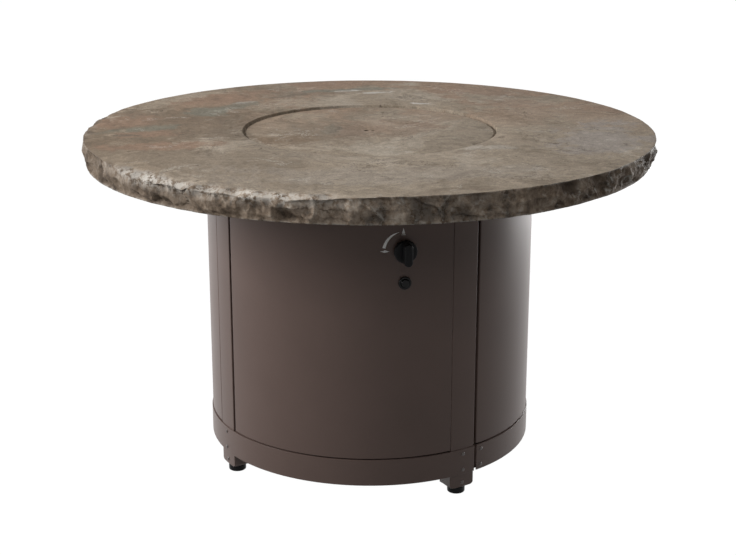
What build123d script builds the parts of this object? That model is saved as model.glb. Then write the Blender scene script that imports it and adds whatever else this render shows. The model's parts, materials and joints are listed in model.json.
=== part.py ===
from build123d import *
import math
import os

# A round gas fire-pit table. Millimetres and degrees, +Z up, the front faces -Y and the origin
# is on the ground under the middle. An azimuth is counted from the front towards +X.

# Whole table
table_height = 716.0
top_diameter = 1219.0
overrun = 5.0  # how far a cutting profile passes the face that it cuts
seat_clearance = 0.2  # between welded or dropped-in pieces
running_clearance = 0.05  # round turning and sliding shafts
moving_clearance = 0.5  # between pieces that pass each other

# Cast top
rim_depth = 53.0
rim_width = 62.0
rim_draft = 7.0
deck_thickness = 24.0
opening_diameter = 541.0
ledge_width = 25.5
ledge_thickness = 22.0
collar_width = 20.0
collar_draft = 4.0

# Chiselled rim: rings of flakes, each with its drop, its inset and its deepest chip as shares
rim_bulge = 11.0
chip_depth = 7.0
flake_count = 90
flake_stagger_share = 0.55
flake_ring_shares = (
    (0.00, 0.62, 0.25),
    (0.17, 0.20, 0.85),
    (0.46, 0.00, 0.75),
    (0.80, 0.35, 0.80),
    (1.00, 0.95, 0.05),
)
scatter_rates = (12.9898, 78.233, 37.719)
scatter_gain = 43758.5453

# Lift-off cover
cover_gap = 5.5  # left all round in the opening
cover_thickness = 18.0
cover_recess = 5.0
cover_edge_break = 1.5
lift_hole_radius = 4.5
lift_pilot_radius = 3.0
lift_hole_spacing = 14.5

# Burner pan
pan_sheet = 1.2
pan_depth = 62.0
pan_flange_gap = 6.5
pan_mouth_gap = 9.0
pan_wall_inset = 10.0
bumper_height = 2.0
bumper_radius = 7.0
bumper_count = 6

# Burner: a ring with a cross tube, a hub and an inlet stub through the pan
ring_diameter = 300.0
ring_tube_radius = 9.5
ring_height = 22.0
cross_tube_radius = 8.0
tube_sides = 8
hub_radius = 18.0
hub_height = 33.0
stub_radius = 10.5
stub_wall = 3.5
stub_length = 29.0
port_radius = 1.6
port_depth = 4.0
ring_port_count = 32
arm_port_pitch = 26.0
arm_port_count = 10
lock_nut_width = 32.0
lock_nut_height = 12.0
glass_depth = 26.0
glass_clearance = 0.4
glass_pocket_radius = 23.0

# Ignition and flame sensing, beside the ring
electrode_azimuth = 62.0
electrode_ring_gap = 28.0
electrode_spacing = 16.0
electrode_bracket_width = 34.0
electrode_bracket_depth = 16.0
electrode_bracket_height = 22.0
electrode_bracket_sheet = 1.5
insulator_radius = 4.0
insulator_above = 34.0
insulator_below = 18.0
insulator_collar_radius = 5.5
insulator_collar_height = 4.0
electrode_rod_radius = 1.2
electrode_rod_above = 45.0
electrode_rod_below = 24.0
electrode_tip_reach = 14.0
electrode_bend_radius = 4.0
sensor_radius = 2.5
sensor_above = 42.0
sensor_below = 26.0
sensor_collar_radius = 4.5
sensor_collar_height = 5.0

# Drum-shaped base
sheet = 1.5
bend_radius = 2.0
front_angle = 93.8  # from one front gap to the other
post_width = 60.0
post_depth = 42.0
post_corner_radius = 9.0
module_gap = 6.0
hinge_gap = 2.5
panel_return = 20.0
door_tab_width = 24.0
lip_clearance = 0.8
shadow_gap = 3.0

# Bottom band and floor
band_bottom = 46.0
band_height = 56.0
band_thickness = 2.0
band_lip_width = 20.0
band_lip_sheet = 2.0
band_top_lip_width = 14.0
floor_sheet = 2.0
floor_edge_gap = 4.0
floor_notch_gap = 1.0
vent_radius = 18.0
vent_count = 8
vent_circle_diameter = 440.0
tank_ring_bore = 208.0
tank_ring_wall = 3.0
tank_ring_height = 25.0

# Ring under the top
ring_drop = 30.0
ring_sheet = 2.0
ring_flange_gap = 5.5
ring_flange_width = 50.0
pad_height = 2.0
pad_share = 0.28
pad_count = 8

# Rivets
rivet_radius = 3.8
rivet_height = 1.5
rivet_taper = 30.0
rivet_spacing = 35.0
rivet_edge = 12.5
foot_rivet_rise = 10.0
ring_rivet_drop = 15.0

# Levelling feet
foot_plate_sheet = 3.0
foot_plate_lift = 1.0
foot_pad_radius = 18.5
foot_pad_height = 15.0
foot_pad_round = 3.0
foot_neck = 2.5
foot_hub_radius = 8.0
foot_socket_depth = 7.0
stud_radius = 5.0
stud_above_plate = 44.0
foot_nut_width = 17.0
foot_nut_height = 8.0

# Door hinges and catches
hinge_low_margin = 45.0
hinge_high_margin = 35.0
leaf_width = 25.0
leaf_height = 32.0
leaf_sheet = 2.0
knuckle_radius = 4.5
knuckle_lift = 0.3
hinge_pin_radius = 3.0
hinge_pin_head_radius = 4.2
hinge_pin_head_height = 1.5
catch_margin = 68.0
catch_height = 50.0
catch_width = 13.0

# Gas control on the front panel
control_azimuth = 19.45
push_travel = 3.0
stem_radius = 4.0
stem_hole_radius = 7.0
stem_in_knob = 11.0
stem_in_valve = 33.0
knob_radius = 23.0
knob_back_gap = 1.0
knob_skirt = 8.0
knob_skirt_break = 1.5
grip_length = 46.0
grip_width = 17.0
grip_height = 26.0
grip_round = 3.0
pointer_width = 2.0
pointer_length = 14.0
pointer_depth = 0.8
washer_radius = 8.0
washer_sheet = 1.5
washer_gap = 5.5
bracket_sheet = 2.0
bracket_width = 86.0
bracket_height = 58.0
bracket_corner_radius = 4.0
valve_width = 44.0
valve_height = 40.0
valve_depth = 36.0
valve_corner_radius = 5.0
valve_nose_radius = 9.0
valve_nose_length = 10.0
valve_screw_spacing = 30.0
valve_screw_radius = 3.6
valve_screw_height = 2.4
inlet_hex_width = 19.0
inlet_hex_height = 9.0
inlet_thread_radius = 7.94
inlet_thread_length = 15.0
inlet_nose_length = 3.5
inlet_nose_taper = 40.0
inlet_bore_radius = 3.5

# Igniter on the front panel
igniter_gap = 22.0
bezel_radius = 13.0
bezel_height = 5.5
bezel_round = 2.0
barrel_radius = 10.5
barrel_length = 58.0
barrel_wall = 1.9
button_stand = 8.5
button_in_barrel = 18.0
button_round = 2.5
button_clearance = 0.3
igniter_hole_clearance = 0.3
igniter_nut_width = 28.0
igniter_nut_height = 6.0

# Gas way from the valve to the burner
elbow_wall = 3.5
elbow_height = 38.0
elbow_grip = 12.0
elbow_branch_radius = 10.0
elbow_branch_reach = 28.0
elbow_branch_height = 15.0
mixer_radius = 11.0
mixer_length = 72.0
mixer_hex_width = 25.0
mixer_hex_length = 13.0
air_hole_radius = 4.5
tube_radius = 6.0
tube_wall = 1.0
tube_straight = 42.0
tube_rise = 46.0
tube_rise_run = 60.0
tube_bend_radius = 40.0
tube_grip = 10.0
tube_nut_width = 19.0
tube_nut_height = 12.0

# Radii and heights that follow from the sizes above
quarter_turn = 90.0
half_turn = 180.0
full_turn = 360.0
hexagon_sides = 6
top_radius = top_diameter / 2
opening_radius = opening_diameter / 2
ledge_radius = opening_radius - ledge_width
collar_radius = opening_radius + collar_width
cover_radius = opening_radius - cover_gap
flange_radius = collar_radius + collar_draft + ring_flange_gap
base_radius = flange_radius + ring_flange_width
inner_radius = base_radius - sheet
deck_under = table_height - deck_thickness
rim_bottom = table_height - rim_depth
cover_bottom = table_height - cover_recess - cover_thickness
pan_flange_top = cover_bottom - bumper_height
ledge_top = pan_flange_top - pan_sheet
pan_under = pan_flange_top - pan_depth
pan_floor = pan_under + pan_sheet
pan_flange_radius = opening_radius - pan_flange_gap
pan_mouth_radius = ledge_radius - pan_mouth_gap
pan_floor_radius = pan_mouth_radius - pan_wall_inset
ring_radius = ring_diameter / 2
ring_axis = pan_floor + ring_height
band_top = band_bottom + band_height
band_middle = band_bottom + band_height / 2
band_radius = base_radius + band_thickness
panel_bottom = band_top + shadow_gap
ring_top = deck_under - pad_height
ring_under = ring_top - ring_sheet
ring_bottom = ring_top - ring_drop
panel_top = ring_bottom - shadow_gap
floor_bottom = band_bottom + band_lip_sheet
floor_top = floor_bottom + floor_sheet
door_bottom = floor_top + shadow_gap
foot_plate_bottom = foot_pad_height + foot_neck + moving_clearance
post_bottom = foot_plate_bottom - foot_plate_lift
foot_plate_top = foot_plate_bottom + foot_plate_sheet
foot_radius = base_radius - post_depth / 2
lip_radius = base_radius - panel_return
stub_end = pan_under - stub_length
elbow_top = stub_end + elbow_grip
elbow_bottom = elbow_top - elbow_height
branch_height = elbow_bottom + elbow_branch_height
knob_height = branch_height - tube_rise
knob_gap = push_travel + knob_back_gap
washer_depth = sheet + washer_gap
nose_front = washer_depth + washer_sheet + push_travel + moving_clearance
bracket_back = nose_front + valve_nose_length
bracket_standoff = bracket_back - bracket_sheet
valve_back = bracket_back + valve_depth
inlet_length = inlet_hex_height + inlet_thread_length + inlet_nose_length
igniter_height = knob_height - bracket_height / 2 - igniter_gap - igniter_nut_width / 2


def around(radius, azimuth):
    """Plan position at a radius and an azimuth."""
    turn = math.radians(azimuth)
    return (radius * math.sin(turn), -radius * math.cos(turn))


def spot(radius, azimuth, height):
    """Position in space at a radius, an azimuth and a height."""
    return (*around(radius, azimuth), height)


def arc_angle(width, radius):
    """Angle that a width takes on a circle."""
    return math.degrees(width / radius)


def wall_plane(azimuth, height, radius=base_radius):
    """Plane on the drum's wall: x to the viewer's right, y up, z outwards."""
    turn = math.radians(azimuth)
    return Plane(
        origin=spot(radius, azimuth, height),
        x_dir=(math.cos(turn), math.sin(turn), 0),
        z_dir=(math.sin(turn), -math.cos(turn), 0),
    )


def hexagon(width):
    """Hexagon with a width across its flats."""
    RegularPolygon(width / 2, hexagon_sides, major_radius=False)


def pressed_tube(radius, mode=Mode.ADD):
    """Eight-sided section of the pressed burner tubes, with flats at the top and the sides."""
    RegularPolygon(radius, tube_sides, major_radius=False, rotation=full_turn / tube_sides / 2, mode=mode)


def sector(inner, outer, start, end):
    """Face between two radii and two azimuths."""
    middle = (start + end) / 2
    with BuildLine() as outline:
        ThreePointArc(around(outer, start), around(outer, middle), around(outer, end))
        Line(around(outer, end), around(inner, end))
        ThreePointArc(around(inner, end), around(inner, middle), around(inner, start))
        Line(around(inner, start), around(outer, start))
    make_face(outline.edges())


def folded_sheet(start, end, depth):
    """Curved sheet with both its edges folded inwards, seen in plan."""
    middle = (start + end) / 2
    tip = base_radius - depth
    tip_turn = math.degrees(math.asin(sheet / tip))
    fold_turn = math.degrees(math.asin(sheet / inner_radius))
    with BuildLine() as outline:
        ThreePointArc(around(base_radius, start), around(base_radius, middle), around(base_radius, end))
        Line(around(base_radius, end), around(tip, end))
        Line(around(tip, end), around(tip, end - tip_turn))
        Line(around(tip, end - tip_turn), around(inner_radius, end - fold_turn))
        ThreePointArc(
            around(inner_radius, end - fold_turn),
            around(inner_radius, middle),
            around(inner_radius, start + fold_turn),
        )
        Line(around(inner_radius, start + fold_turn), around(tip, start + tip_turn))
        Line(around(tip, start + tip_turn), around(tip, start))
        Line(around(tip, start), around(base_radius, start))
    make_face(outline.edges())


def save(piece, name):
    """Label a finished piece and write it."""
    piece.part.label = name
    export_step(piece.part, f"parts/{name}.step")


os.makedirs("parts", exist_ok=True)

# Layout of the drum: four gaps, with a post on the left of each and a panel on its right
half_gap = arc_angle(module_gap, base_radius) / 2
post_turn = arc_angle(post_width, base_radius)
gap_front_right = front_angle / 2
gap_back_right = half_turn - front_angle / 2
gap_back_left = half_turn + front_angle / 2
gap_front_left = full_turn - front_angle / 2
post_ends = {
    "front_right": gap_front_right - half_gap,
    "back_right": gap_back_right - half_gap,
    "back_left": gap_back_left - half_gap,
    "front_left": gap_front_left - half_gap,
}
post_starts = {name: end - post_turn for name, end in post_ends.items()}
post_middles = {name: end - post_turn / 2 for name, end in post_ends.items()}
panel_spans = {
    "front": (gap_front_left - full_turn + half_gap, post_starts["front_right"]),
    "back": (gap_back_right + half_gap, post_starts["back_left"]),
    "left": (gap_back_left + half_gap, post_starts["front_left"]),
}
door_start = gap_front_right + half_gap
door_end = post_starts["back_right"] - arc_angle(hinge_gap, base_radius)


# Cast top: a chiselled rim lofted through rings of flakes, hollowed from below
def scatter(index, ring, draw):
    """Repeatable scattered share between 0 and 1."""
    phase = index * scatter_rates[0] + ring * scatter_rates[1] + draw * scatter_rates[2]
    return math.sin(phase) * scatter_gain % 1


def flake_corners(ring):
    """Corners of one ring of flakes round the rim."""
    drop_share, inset_share, chip_share = flake_ring_shares[ring]
    corners = []
    for index in range(flake_count):
        stagger_share = flake_stagger_share * scatter(index, ring, 1)
        chip = chip_depth * chip_share * scatter(index, ring, 2)
        radius = top_radius - rim_bulge * inset_share - chip
        corners.append(around(radius, full_turn / flake_count * (index + stagger_share)))
    return corners


with BuildPart() as table_top:
    for ring, shares in enumerate(flake_ring_shares):
        with BuildSketch(Plane.XY.offset(table_height - rim_depth * shares[0])):
            with BuildLine():
                Polyline(*flake_corners(ring), close=True)
            make_face()
    loft(ruled=True)
    hollow_radius = top_radius - rim_bulge - rim_width
    ledge_under = ledge_top - ledge_thickness
    with BuildSketch(Plane.XZ):
        with BuildLine():
            Polyline(
                (0, rim_bottom - overrun),
                (hollow_radius + rim_draft, rim_bottom - overrun),
                (hollow_radius + rim_draft, rim_bottom),
                (hollow_radius, deck_under),
                (collar_radius + collar_draft, deck_under),
                (collar_radius, ledge_under),
                (ledge_radius, ledge_under),
                (ledge_radius, ledge_top),
                (opening_radius, ledge_top),
                (opening_radius, table_height + overrun),
                (0, table_height + overrun),
                close=True,
            )
        make_face()
    revolve(axis=Axis.Z, mode=Mode.SUBTRACT)
save(table_top, "table_top")

with BuildPart() as burner_cover:
    with BuildSketch(Plane.XY.offset(cover_bottom)):
        Circle(cover_radius)
        with Locations((-lift_hole_spacing / 2, 0)):
            Circle(lift_hole_radius, mode=Mode.SUBTRACT)
        with Locations((lift_hole_spacing / 2, 0)):
            Circle(lift_pilot_radius, mode=Mode.SUBTRACT)
    extrude(amount=cover_thickness)
    cover_edges = burner_cover.edges().filter_by(GeomType.CIRCLE)
    chamfer(cover_edges.group_by(SortBy.RADIUS)[-1], cover_edge_break)
save(burner_cover, "burner_cover")


# Burner pan hanging in the opening, with rubber bumpers for the cover
electrode_place = ring_radius - ring_tube_radius - electrode_ring_gap
electrode_turn = math.radians(electrode_azimuth)
electrode_plane = Plane(
    origin=spot(electrode_place, electrode_azimuth, pan_floor),
    x_dir=(math.cos(electrode_turn), math.sin(electrode_turn), 0),
    z_dir=(0, 0, 1),
)
insulator_hole = insulator_radius + moving_clearance
sensor_hole = sensor_radius + moving_clearance


def electrode_holes():
    """Holes for the insulator and the flame sensor, side by side."""
    with Locations((-electrode_spacing / 2, 0)):
        Circle(insulator_hole, mode=Mode.SUBTRACT)
    with Locations((electrode_spacing / 2, 0)):
        Circle(sensor_hole, mode=Mode.SUBTRACT)


with BuildPart() as burner_pan:
    with BuildSketch(Plane.XZ):
        with BuildLine():
            Polyline(
                (stub_radius + seat_clearance, pan_under),
                (pan_floor_radius, pan_under),
                (pan_mouth_radius, ledge_top),
                (pan_flange_radius, ledge_top),
                (pan_flange_radius, pan_flange_top),
                (pan_mouth_radius - pan_sheet, pan_flange_top),
                (pan_floor_radius - pan_sheet, pan_floor),
                (stub_radius + seat_clearance, pan_floor),
                close=True,
            )
        make_face()
    revolve(axis=Axis.Z)
    with BuildSketch(electrode_plane):
        with Locations((-electrode_spacing / 2, 0)):
            Circle(insulator_hole)
        with Locations((electrode_spacing / 2, 0)):
            Circle(sensor_hole)
    extrude(amount=overrun, both=True, mode=Mode.SUBTRACT)
save(burner_pan, "burner_pan")

with BuildPart() as cover_bumpers:
    with BuildSketch(Plane.XY.offset(pan_flange_top)):
        with PolarLocations((pan_mouth_radius + pan_flange_radius) / 2, bumper_count):
            Circle(bumper_radius)
    extrude(amount=bumper_height)
save(cover_bumpers, "cover_bumpers")

# Burner ring with its cross tube, hub, inlet stub and flame ports
with BuildPart() as burner_ring:
    with BuildSketch(Plane.XZ):
        with Locations((ring_radius, ring_axis)):
            pressed_tube(ring_tube_radius)
    revolve(axis=Axis.Z)
    with BuildSketch(Plane.XZ):
        with Locations((0, ring_axis)):
            pressed_tube(cross_tube_radius)
    extrude(amount=ring_radius, both=True)
    with BuildSketch(Plane.XY.offset(pan_floor)):
        Circle(hub_radius)
    extrude(amount=hub_height)
    with BuildSketch(Plane.XY.offset(pan_under - stub_length)):
        Circle(stub_radius)
    extrude(amount=stub_length + pan_sheet)
    with BuildSketch(Plane.XY.offset(pan_under - stub_length)):
        Circle(stub_radius - stub_wall)
    extrude(amount=ring_axis - pan_under + stub_length, mode=Mode.SUBTRACT)
    with BuildSketch(Plane.XY.offset(ring_axis + ring_tube_radius - port_depth)):
        with PolarLocations(ring_radius, ring_port_count, start_angle=full_turn / ring_port_count / 2):
            Circle(port_radius)
    extrude(amount=port_depth + overrun, mode=Mode.SUBTRACT)
    with BuildSketch(Plane.XY.offset(ring_axis + cross_tube_radius - port_depth)):
        with GridLocations(arm_port_pitch, arm_port_pitch, 1, arm_port_count):
            Circle(port_radius)
        Circle(hub_radius + port_radius, mode=Mode.SUBTRACT)
    extrude(amount=port_depth + overrun, mode=Mode.SUBTRACT)
save(burner_ring, "burner_ring")

with BuildPart() as burner_nut:
    with BuildSketch(Plane.XY.offset(pan_under - lock_nut_height)):
        hexagon(lock_nut_width)
        Circle(stub_radius + seat_clearance, mode=Mode.SUBTRACT)
    extrude(amount=lock_nut_height)
save(burner_nut, "burner_nut")

# Bed of fire glass, shaped round the burner and the electrode
with BuildPart() as fire_glass:
    glass_bottom = pan_floor + glass_clearance
    glass_top = pan_floor + glass_depth
    wall_lean_share = pan_wall_inset / (pan_depth - pan_sheet)
    glass_radius = pan_floor_radius - pan_sheet - glass_clearance
    with BuildSketch(Plane.XZ):
        with BuildLine():
            Polyline(
                (hub_radius + glass_clearance, glass_bottom),
                (glass_radius, glass_bottom),
                (glass_radius + glass_depth * wall_lean_share, glass_top),
                (hub_radius + glass_clearance, glass_top),
                close=True,
            )
        make_face()
        with Locations((ring_radius, ring_axis)):
            pressed_tube(ring_tube_radius + glass_clearance, Mode.SUBTRACT)
    revolve(axis=Axis.Z)
    with BuildSketch(Plane.XZ):
        with Locations((0, ring_axis)):
            pressed_tube(cross_tube_radius + glass_clearance)
    extrude(amount=ring_radius, both=True, mode=Mode.SUBTRACT)
    with BuildSketch(electrode_plane):
        Circle(glass_pocket_radius)
    extrude(amount=glass_depth + overrun, mode=Mode.SUBTRACT)
save(fire_glass, "fire_glass")

# Electrode bracket: a folded C with a shelf, and the insulator, rod and flame sensor in it
with BuildPart() as electrode_bracket:
    back = electrode_bracket_depth / 2
    shelf = electrode_bracket_height
    with BuildSketch(electrode_plane):
        Rectangle(electrode_bracket_width, electrode_bracket_depth)
        electrode_holes()
    extrude(amount=electrode_bracket_sheet)
    with BuildSketch(electrode_plane):
        with Locations((0, back - electrode_bracket_sheet / 2)):
            Rectangle(electrode_bracket_width, electrode_bracket_sheet)
    extrude(amount=shelf)
    with BuildSketch(electrode_plane.offset(shelf - electrode_bracket_sheet)):
        Rectangle(electrode_bracket_width, electrode_bracket_depth)
        electrode_holes()
    extrude(amount=electrode_bracket_sheet)
save(electrode_bracket, "electrode_bracket")

insulator_place = electrode_plane.from_local_coords((-electrode_spacing / 2, 0, 0))
sensor_place = electrode_plane.from_local_coords((electrode_spacing / 2, 0, 0))
insulator_plane = electrode_plane.shift_origin(insulator_place)
sensor_plane = electrode_plane.shift_origin(sensor_place)

with BuildPart() as electrode_insulator:
    with BuildSketch(insulator_plane.offset(-insulator_below)):
        Circle(insulator_radius)
    extrude(amount=insulator_below + insulator_above)
    with BuildSketch(insulator_plane.offset(electrode_bracket_height)):
        Circle(insulator_collar_radius)
    extrude(amount=insulator_collar_height)
    with BuildSketch(insulator_plane.offset(-insulator_below)):
        Circle(electrode_rod_radius + running_clearance)
    extrude(amount=insulator_below + insulator_above, mode=Mode.SUBTRACT)
save(electrode_insulator, "electrode_insulator")

with BuildPart() as electrode_rod:
    with BuildLine(insulator_plane) as rod_route:
        FilletPolyline(
            (0, 0, -electrode_rod_below),
            (0, 0, electrode_rod_above),
            (0, -electrode_tip_reach, electrode_rod_above),
            radius=electrode_bend_radius,
        )
    with BuildSketch(insulator_plane.offset(-electrode_rod_below)):
        Circle(electrode_rod_radius)
    sweep(path=rod_route.line)
save(electrode_rod, "electrode_rod")

with BuildPart() as flame_sensor:
    with BuildSketch(sensor_plane.offset(-sensor_below)):
        Circle(sensor_radius)
    extrude(amount=sensor_below + sensor_above)
    fillet(flame_sensor.edges().group_by(Axis.Z)[-1], sensor_radius / 2)
    with BuildSketch(sensor_plane.offset(electrode_bracket_height)):
        Circle(sensor_collar_radius)
    extrude(amount=sensor_collar_height)
save(flame_sensor, "flame_sensor")

# Ring that carries the top on pads, and the four posts below it
with BuildPart() as top_ring:
    with BuildSketch(Plane.XY.offset(ring_bottom)):
        Circle(base_radius + ring_sheet)
        Circle(base_radius, mode=Mode.SUBTRACT)
    extrude(amount=ring_drop)
    with BuildSketch(Plane.XY.offset(ring_under)):
        Circle(base_radius + ring_sheet)
        Circle(flange_radius, mode=Mode.SUBTRACT)
    extrude(amount=ring_sheet)
save(top_ring, "top_ring")

with BuildPart() as top_pads:
    with BuildSketch(Plane.XY.offset(ring_top)):
        with PolarLocations((flange_radius + base_radius) / 2, pad_count):
            Circle(ring_flange_width * pad_share)
    extrude(amount=pad_height)
save(top_pads, "top_pads")

for name in post_ends:
    with BuildPart() as post:
        with BuildSketch(Plane.XY.offset(post_bottom)) as post_plan:
            folded_sheet(post_starts[name], post_ends[name], post_depth)
            fillet(post_plan.vertices().sort_by_distance((0, 0, 0))[-2:], bend_radius)
        extrude(amount=ring_under - post_bottom)
        corner = post_corner_radius
        corner_reach = base_radius * math.sin(math.radians(post_turn / 2))
        with BuildSketch(wall_plane(post_middles[name], post_bottom)):
            for side in (-1, 1):
                with Locations((side * (corner_reach - corner / 2), corner / 2)):
                    Rectangle(corner, corner)
                with Locations((side * (corner_reach - corner), corner)):
                    Circle(corner, mode=Mode.SUBTRACT)
        extrude(amount=post_depth + overrun, both=True, mode=Mode.SUBTRACT)
    save(post, f"post_{name}")


# Curved panels: the right edge lies against a post, the left edge turns in and closes its gap
def panel_plan(start, end):
    """Plan of a panel with its folded edges and the lip behind its gap."""
    lip_turn = arc_angle(module_gap - lip_clearance, lip_radius)
    folded_sheet(start, end, panel_return)
    sector(lip_radius, lip_radius + sheet, start - lip_turn, start + arc_angle(sheet, lip_radius) / 2)


igniter_hole_radius = barrel_radius + igniter_hole_clearance
for name, (start, end) in panel_spans.items():
    with BuildPart() as panel:
        with BuildSketch(Plane.XY.offset(panel_bottom)) as panel_sketch:
            panel_plan(start, end)
            fillet(panel_sketch.vertices().sort_by_distance((0, 0, 0))[-2:], bend_radius)
        extrude(amount=panel_top - panel_bottom)
        if name == "front":
            with BuildSketch(wall_plane(control_azimuth, knob_height)):
                Circle(stem_hole_radius)
            extrude(amount=bracket_standoff, both=True, mode=Mode.SUBTRACT)
            with BuildSketch(wall_plane(control_azimuth, igniter_height)):
                Circle(igniter_hole_radius)
            extrude(amount=bracket_standoff, both=True, mode=Mode.SUBTRACT)
    save(panel, f"{name}_panel")

# Door: its face ends above the band, and the folded edges run down to two tabs that carry the band
with BuildPart() as door_panel:
    with BuildSketch(Plane.XY.offset(door_bottom)) as door_sketch:
        panel_plan(door_start, door_end)
        fillet(door_sketch.vertices().sort_by_distance((0, 0, 0))[-2:], bend_radius)
    extrude(amount=panel_top - door_bottom)
    door_tab_turn = arc_angle(door_tab_width, base_radius)
    with BuildSketch(Plane.XY.offset(door_bottom)):
        cut_start = door_start + door_tab_turn
        sector(inner_radius - overrun, base_radius + overrun, cut_start, door_end - door_tab_turn)
    extrude(amount=panel_bottom - door_bottom, mode=Mode.SUBTRACT)
    with BuildSketch(Plane.XY.offset(band_top)):
        sector(inner_radius - overrun, base_radius + overrun, door_start - half_gap, door_end + half_gap)
    extrude(amount=shadow_gap, mode=Mode.SUBTRACT)
save(door_panel, "door_panel")

# Proud band round the foot: a fixed stretch with a lip for the floor, and the door's own stretch.
# A second lip along the top closes the shadow gap under the panels and the door.
lip_outer = base_radius + band_thickness / 2
notch_turn = arc_angle(floor_notch_gap, base_radius)
band_lip_spans = [(start - 2 * half_gap, end) for start, end in panel_spans.values()]

with BuildPart() as bottom_band:
    with BuildSketch(Plane.XY.offset(band_bottom)):
        sector(base_radius, band_radius, post_starts["back_right"], post_ends["front_right"] + full_turn)
    extrude(amount=band_height)
    with BuildSketch(Plane.XY.offset(band_bottom)):
        for start, end in band_lip_spans:
            sector(base_radius - band_lip_width, lip_outer, start + notch_turn, end - notch_turn)
    extrude(amount=band_lip_sheet)
    with BuildSketch(Plane.XY.offset(band_top - band_lip_sheet)):
        for start, end in band_lip_spans:
            sector(base_radius - band_top_lip_width, lip_outer, start + notch_turn, end - notch_turn)
    extrude(amount=band_lip_sheet)
save(bottom_band, "bottom_band")

with BuildPart() as door_band:
    with BuildSketch(Plane.XY.offset(band_bottom)):
        sector(base_radius, band_radius, door_start, door_end)
    extrude(amount=band_height)
    door_lip_turn = door_tab_turn + notch_turn
    with BuildSketch(Plane.XY.offset(band_top - band_lip_sheet)):
        lip_tip = base_radius - band_top_lip_width
        sector(lip_tip, lip_outer, door_start + door_lip_turn, door_end - door_lip_turn)
    extrude(amount=band_lip_sheet)
save(door_band, "door_band")

with BuildPart() as base_floor:
    notch_radius = base_radius - post_depth - floor_notch_gap
    floor_notch_turn = arc_angle(floor_notch_gap, notch_radius)
    with BuildSketch(Plane.XY.offset(floor_bottom)):
        Circle(base_radius - floor_edge_gap)
        with PolarLocations(vent_circle_diameter / 2, vent_count):
            Circle(vent_radius, mode=Mode.SUBTRACT)
    extrude(amount=floor_sheet)
    with BuildSketch(Plane.XY.offset(floor_bottom)):
        for name in post_ends:
            notch_start = post_starts[name] - floor_notch_turn
            sector(notch_radius, base_radius, notch_start, post_ends[name] + floor_notch_turn)
    extrude(amount=floor_sheet, mode=Mode.SUBTRACT)
save(base_floor, "base_floor")

with BuildPart() as tank_ring:
    with BuildSketch(Plane.XY.offset(floor_top)):
        Circle(tank_ring_bore / 2 + tank_ring_wall)
        Circle(tank_ring_bore / 2, mode=Mode.SUBTRACT)
    extrude(amount=tank_ring_height)
save(tank_ring, "tank_ring")


# Rivets, in groups
def rivet(plane):
    """Low rivet head on a wall plane."""
    with BuildSketch(plane) as head:
        Circle(rivet_radius)
    extrude(head.sketch, amount=rivet_height, taper=rivet_taper)


rivet_levels = (band_middle - rivet_spacing / 2, band_middle + rivet_spacing / 2)
door_rivet_turn = arc_angle(rivet_edge, base_radius)

with BuildPart() as band_rivets:
    for azimuth in post_middles.values():
        for level in rivet_levels:
            rivet(wall_plane(azimuth, level, band_radius))
save(band_rivets, "band_rivets")

with BuildPart() as foot_rivets:
    for azimuth in post_middles.values():
        rivet(wall_plane(azimuth, post_bottom + foot_rivet_rise))
save(foot_rivets, "foot_rivets")

with BuildPart() as ring_rivets:
    for azimuth in post_middles.values():
        rivet(wall_plane(azimuth, ring_top - ring_rivet_drop, base_radius + ring_sheet))
save(ring_rivets, "ring_rivets")

with BuildPart() as door_rivets:
    for azimuth in (door_start + door_rivet_turn, door_end - door_rivet_turn):
        for level in rivet_levels:
            rivet(wall_plane(azimuth, level, band_radius))
save(door_rivets, "door_rivets")

# Levelling feet: an end plate and a nut in each post, and a pad on a threaded stud
with BuildPart() as foot_plates:
    with BuildSketch(Plane.XY.offset(foot_plate_bottom)):
        for name in post_ends:
            tip_radius = base_radius - post_depth
            plate_inset = arc_angle(sheet + seat_clearance, tip_radius)
            plate_start = post_starts[name] + plate_inset
            sector(tip_radius, inner_radius - seat_clearance, plate_start, post_ends[name] - plate_inset)
        for azimuth in post_middles.values():
            with Locations(around(foot_radius, azimuth)):
                Circle(stud_radius + running_clearance, mode=Mode.SUBTRACT)
    extrude(amount=foot_plate_sheet)
save(foot_plates, "foot_plates")

with BuildPart() as foot_nuts:
    with BuildSketch(Plane.XY.offset(foot_plate_top)):
        for azimuth in post_middles.values():
            with Locations(around(foot_radius, azimuth)):
                hexagon(foot_nut_width)
                Circle(stud_radius + running_clearance, mode=Mode.SUBTRACT)
    extrude(amount=foot_nut_height)
save(foot_nuts, "foot_nuts")

for name, azimuth in post_middles.items():
    foot_place = around(foot_radius, azimuth)
    socket_bottom = foot_pad_height - foot_socket_depth
    with BuildPart() as foot_pad:
        with BuildSketch():
            with Locations(foot_place):
                Circle(foot_pad_radius)
        extrude(amount=foot_pad_height)
        fillet(foot_pad.edges().filter_by(GeomType.CIRCLE), foot_pad_round)
        with BuildSketch(Plane.XY.offset(foot_pad_height)):
            with Locations(foot_place):
                Circle(foot_hub_radius)
        extrude(amount=foot_neck)
        with BuildSketch(Plane.XY.offset(socket_bottom)):
            with Locations(foot_place):
                Circle(stud_radius + running_clearance)
        extrude(amount=foot_socket_depth + foot_neck, mode=Mode.SUBTRACT)
    save(foot_pad, f"foot_pad_{name}")

    with BuildPart() as foot_stud:
        with BuildSketch(Plane.XY.offset(socket_bottom)):
            with Locations(foot_place):
                Circle(stud_radius)
        extrude(amount=foot_plate_top + stud_above_plate - socket_bottom)
    save(foot_stud, f"foot_stud_{name}")

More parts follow.
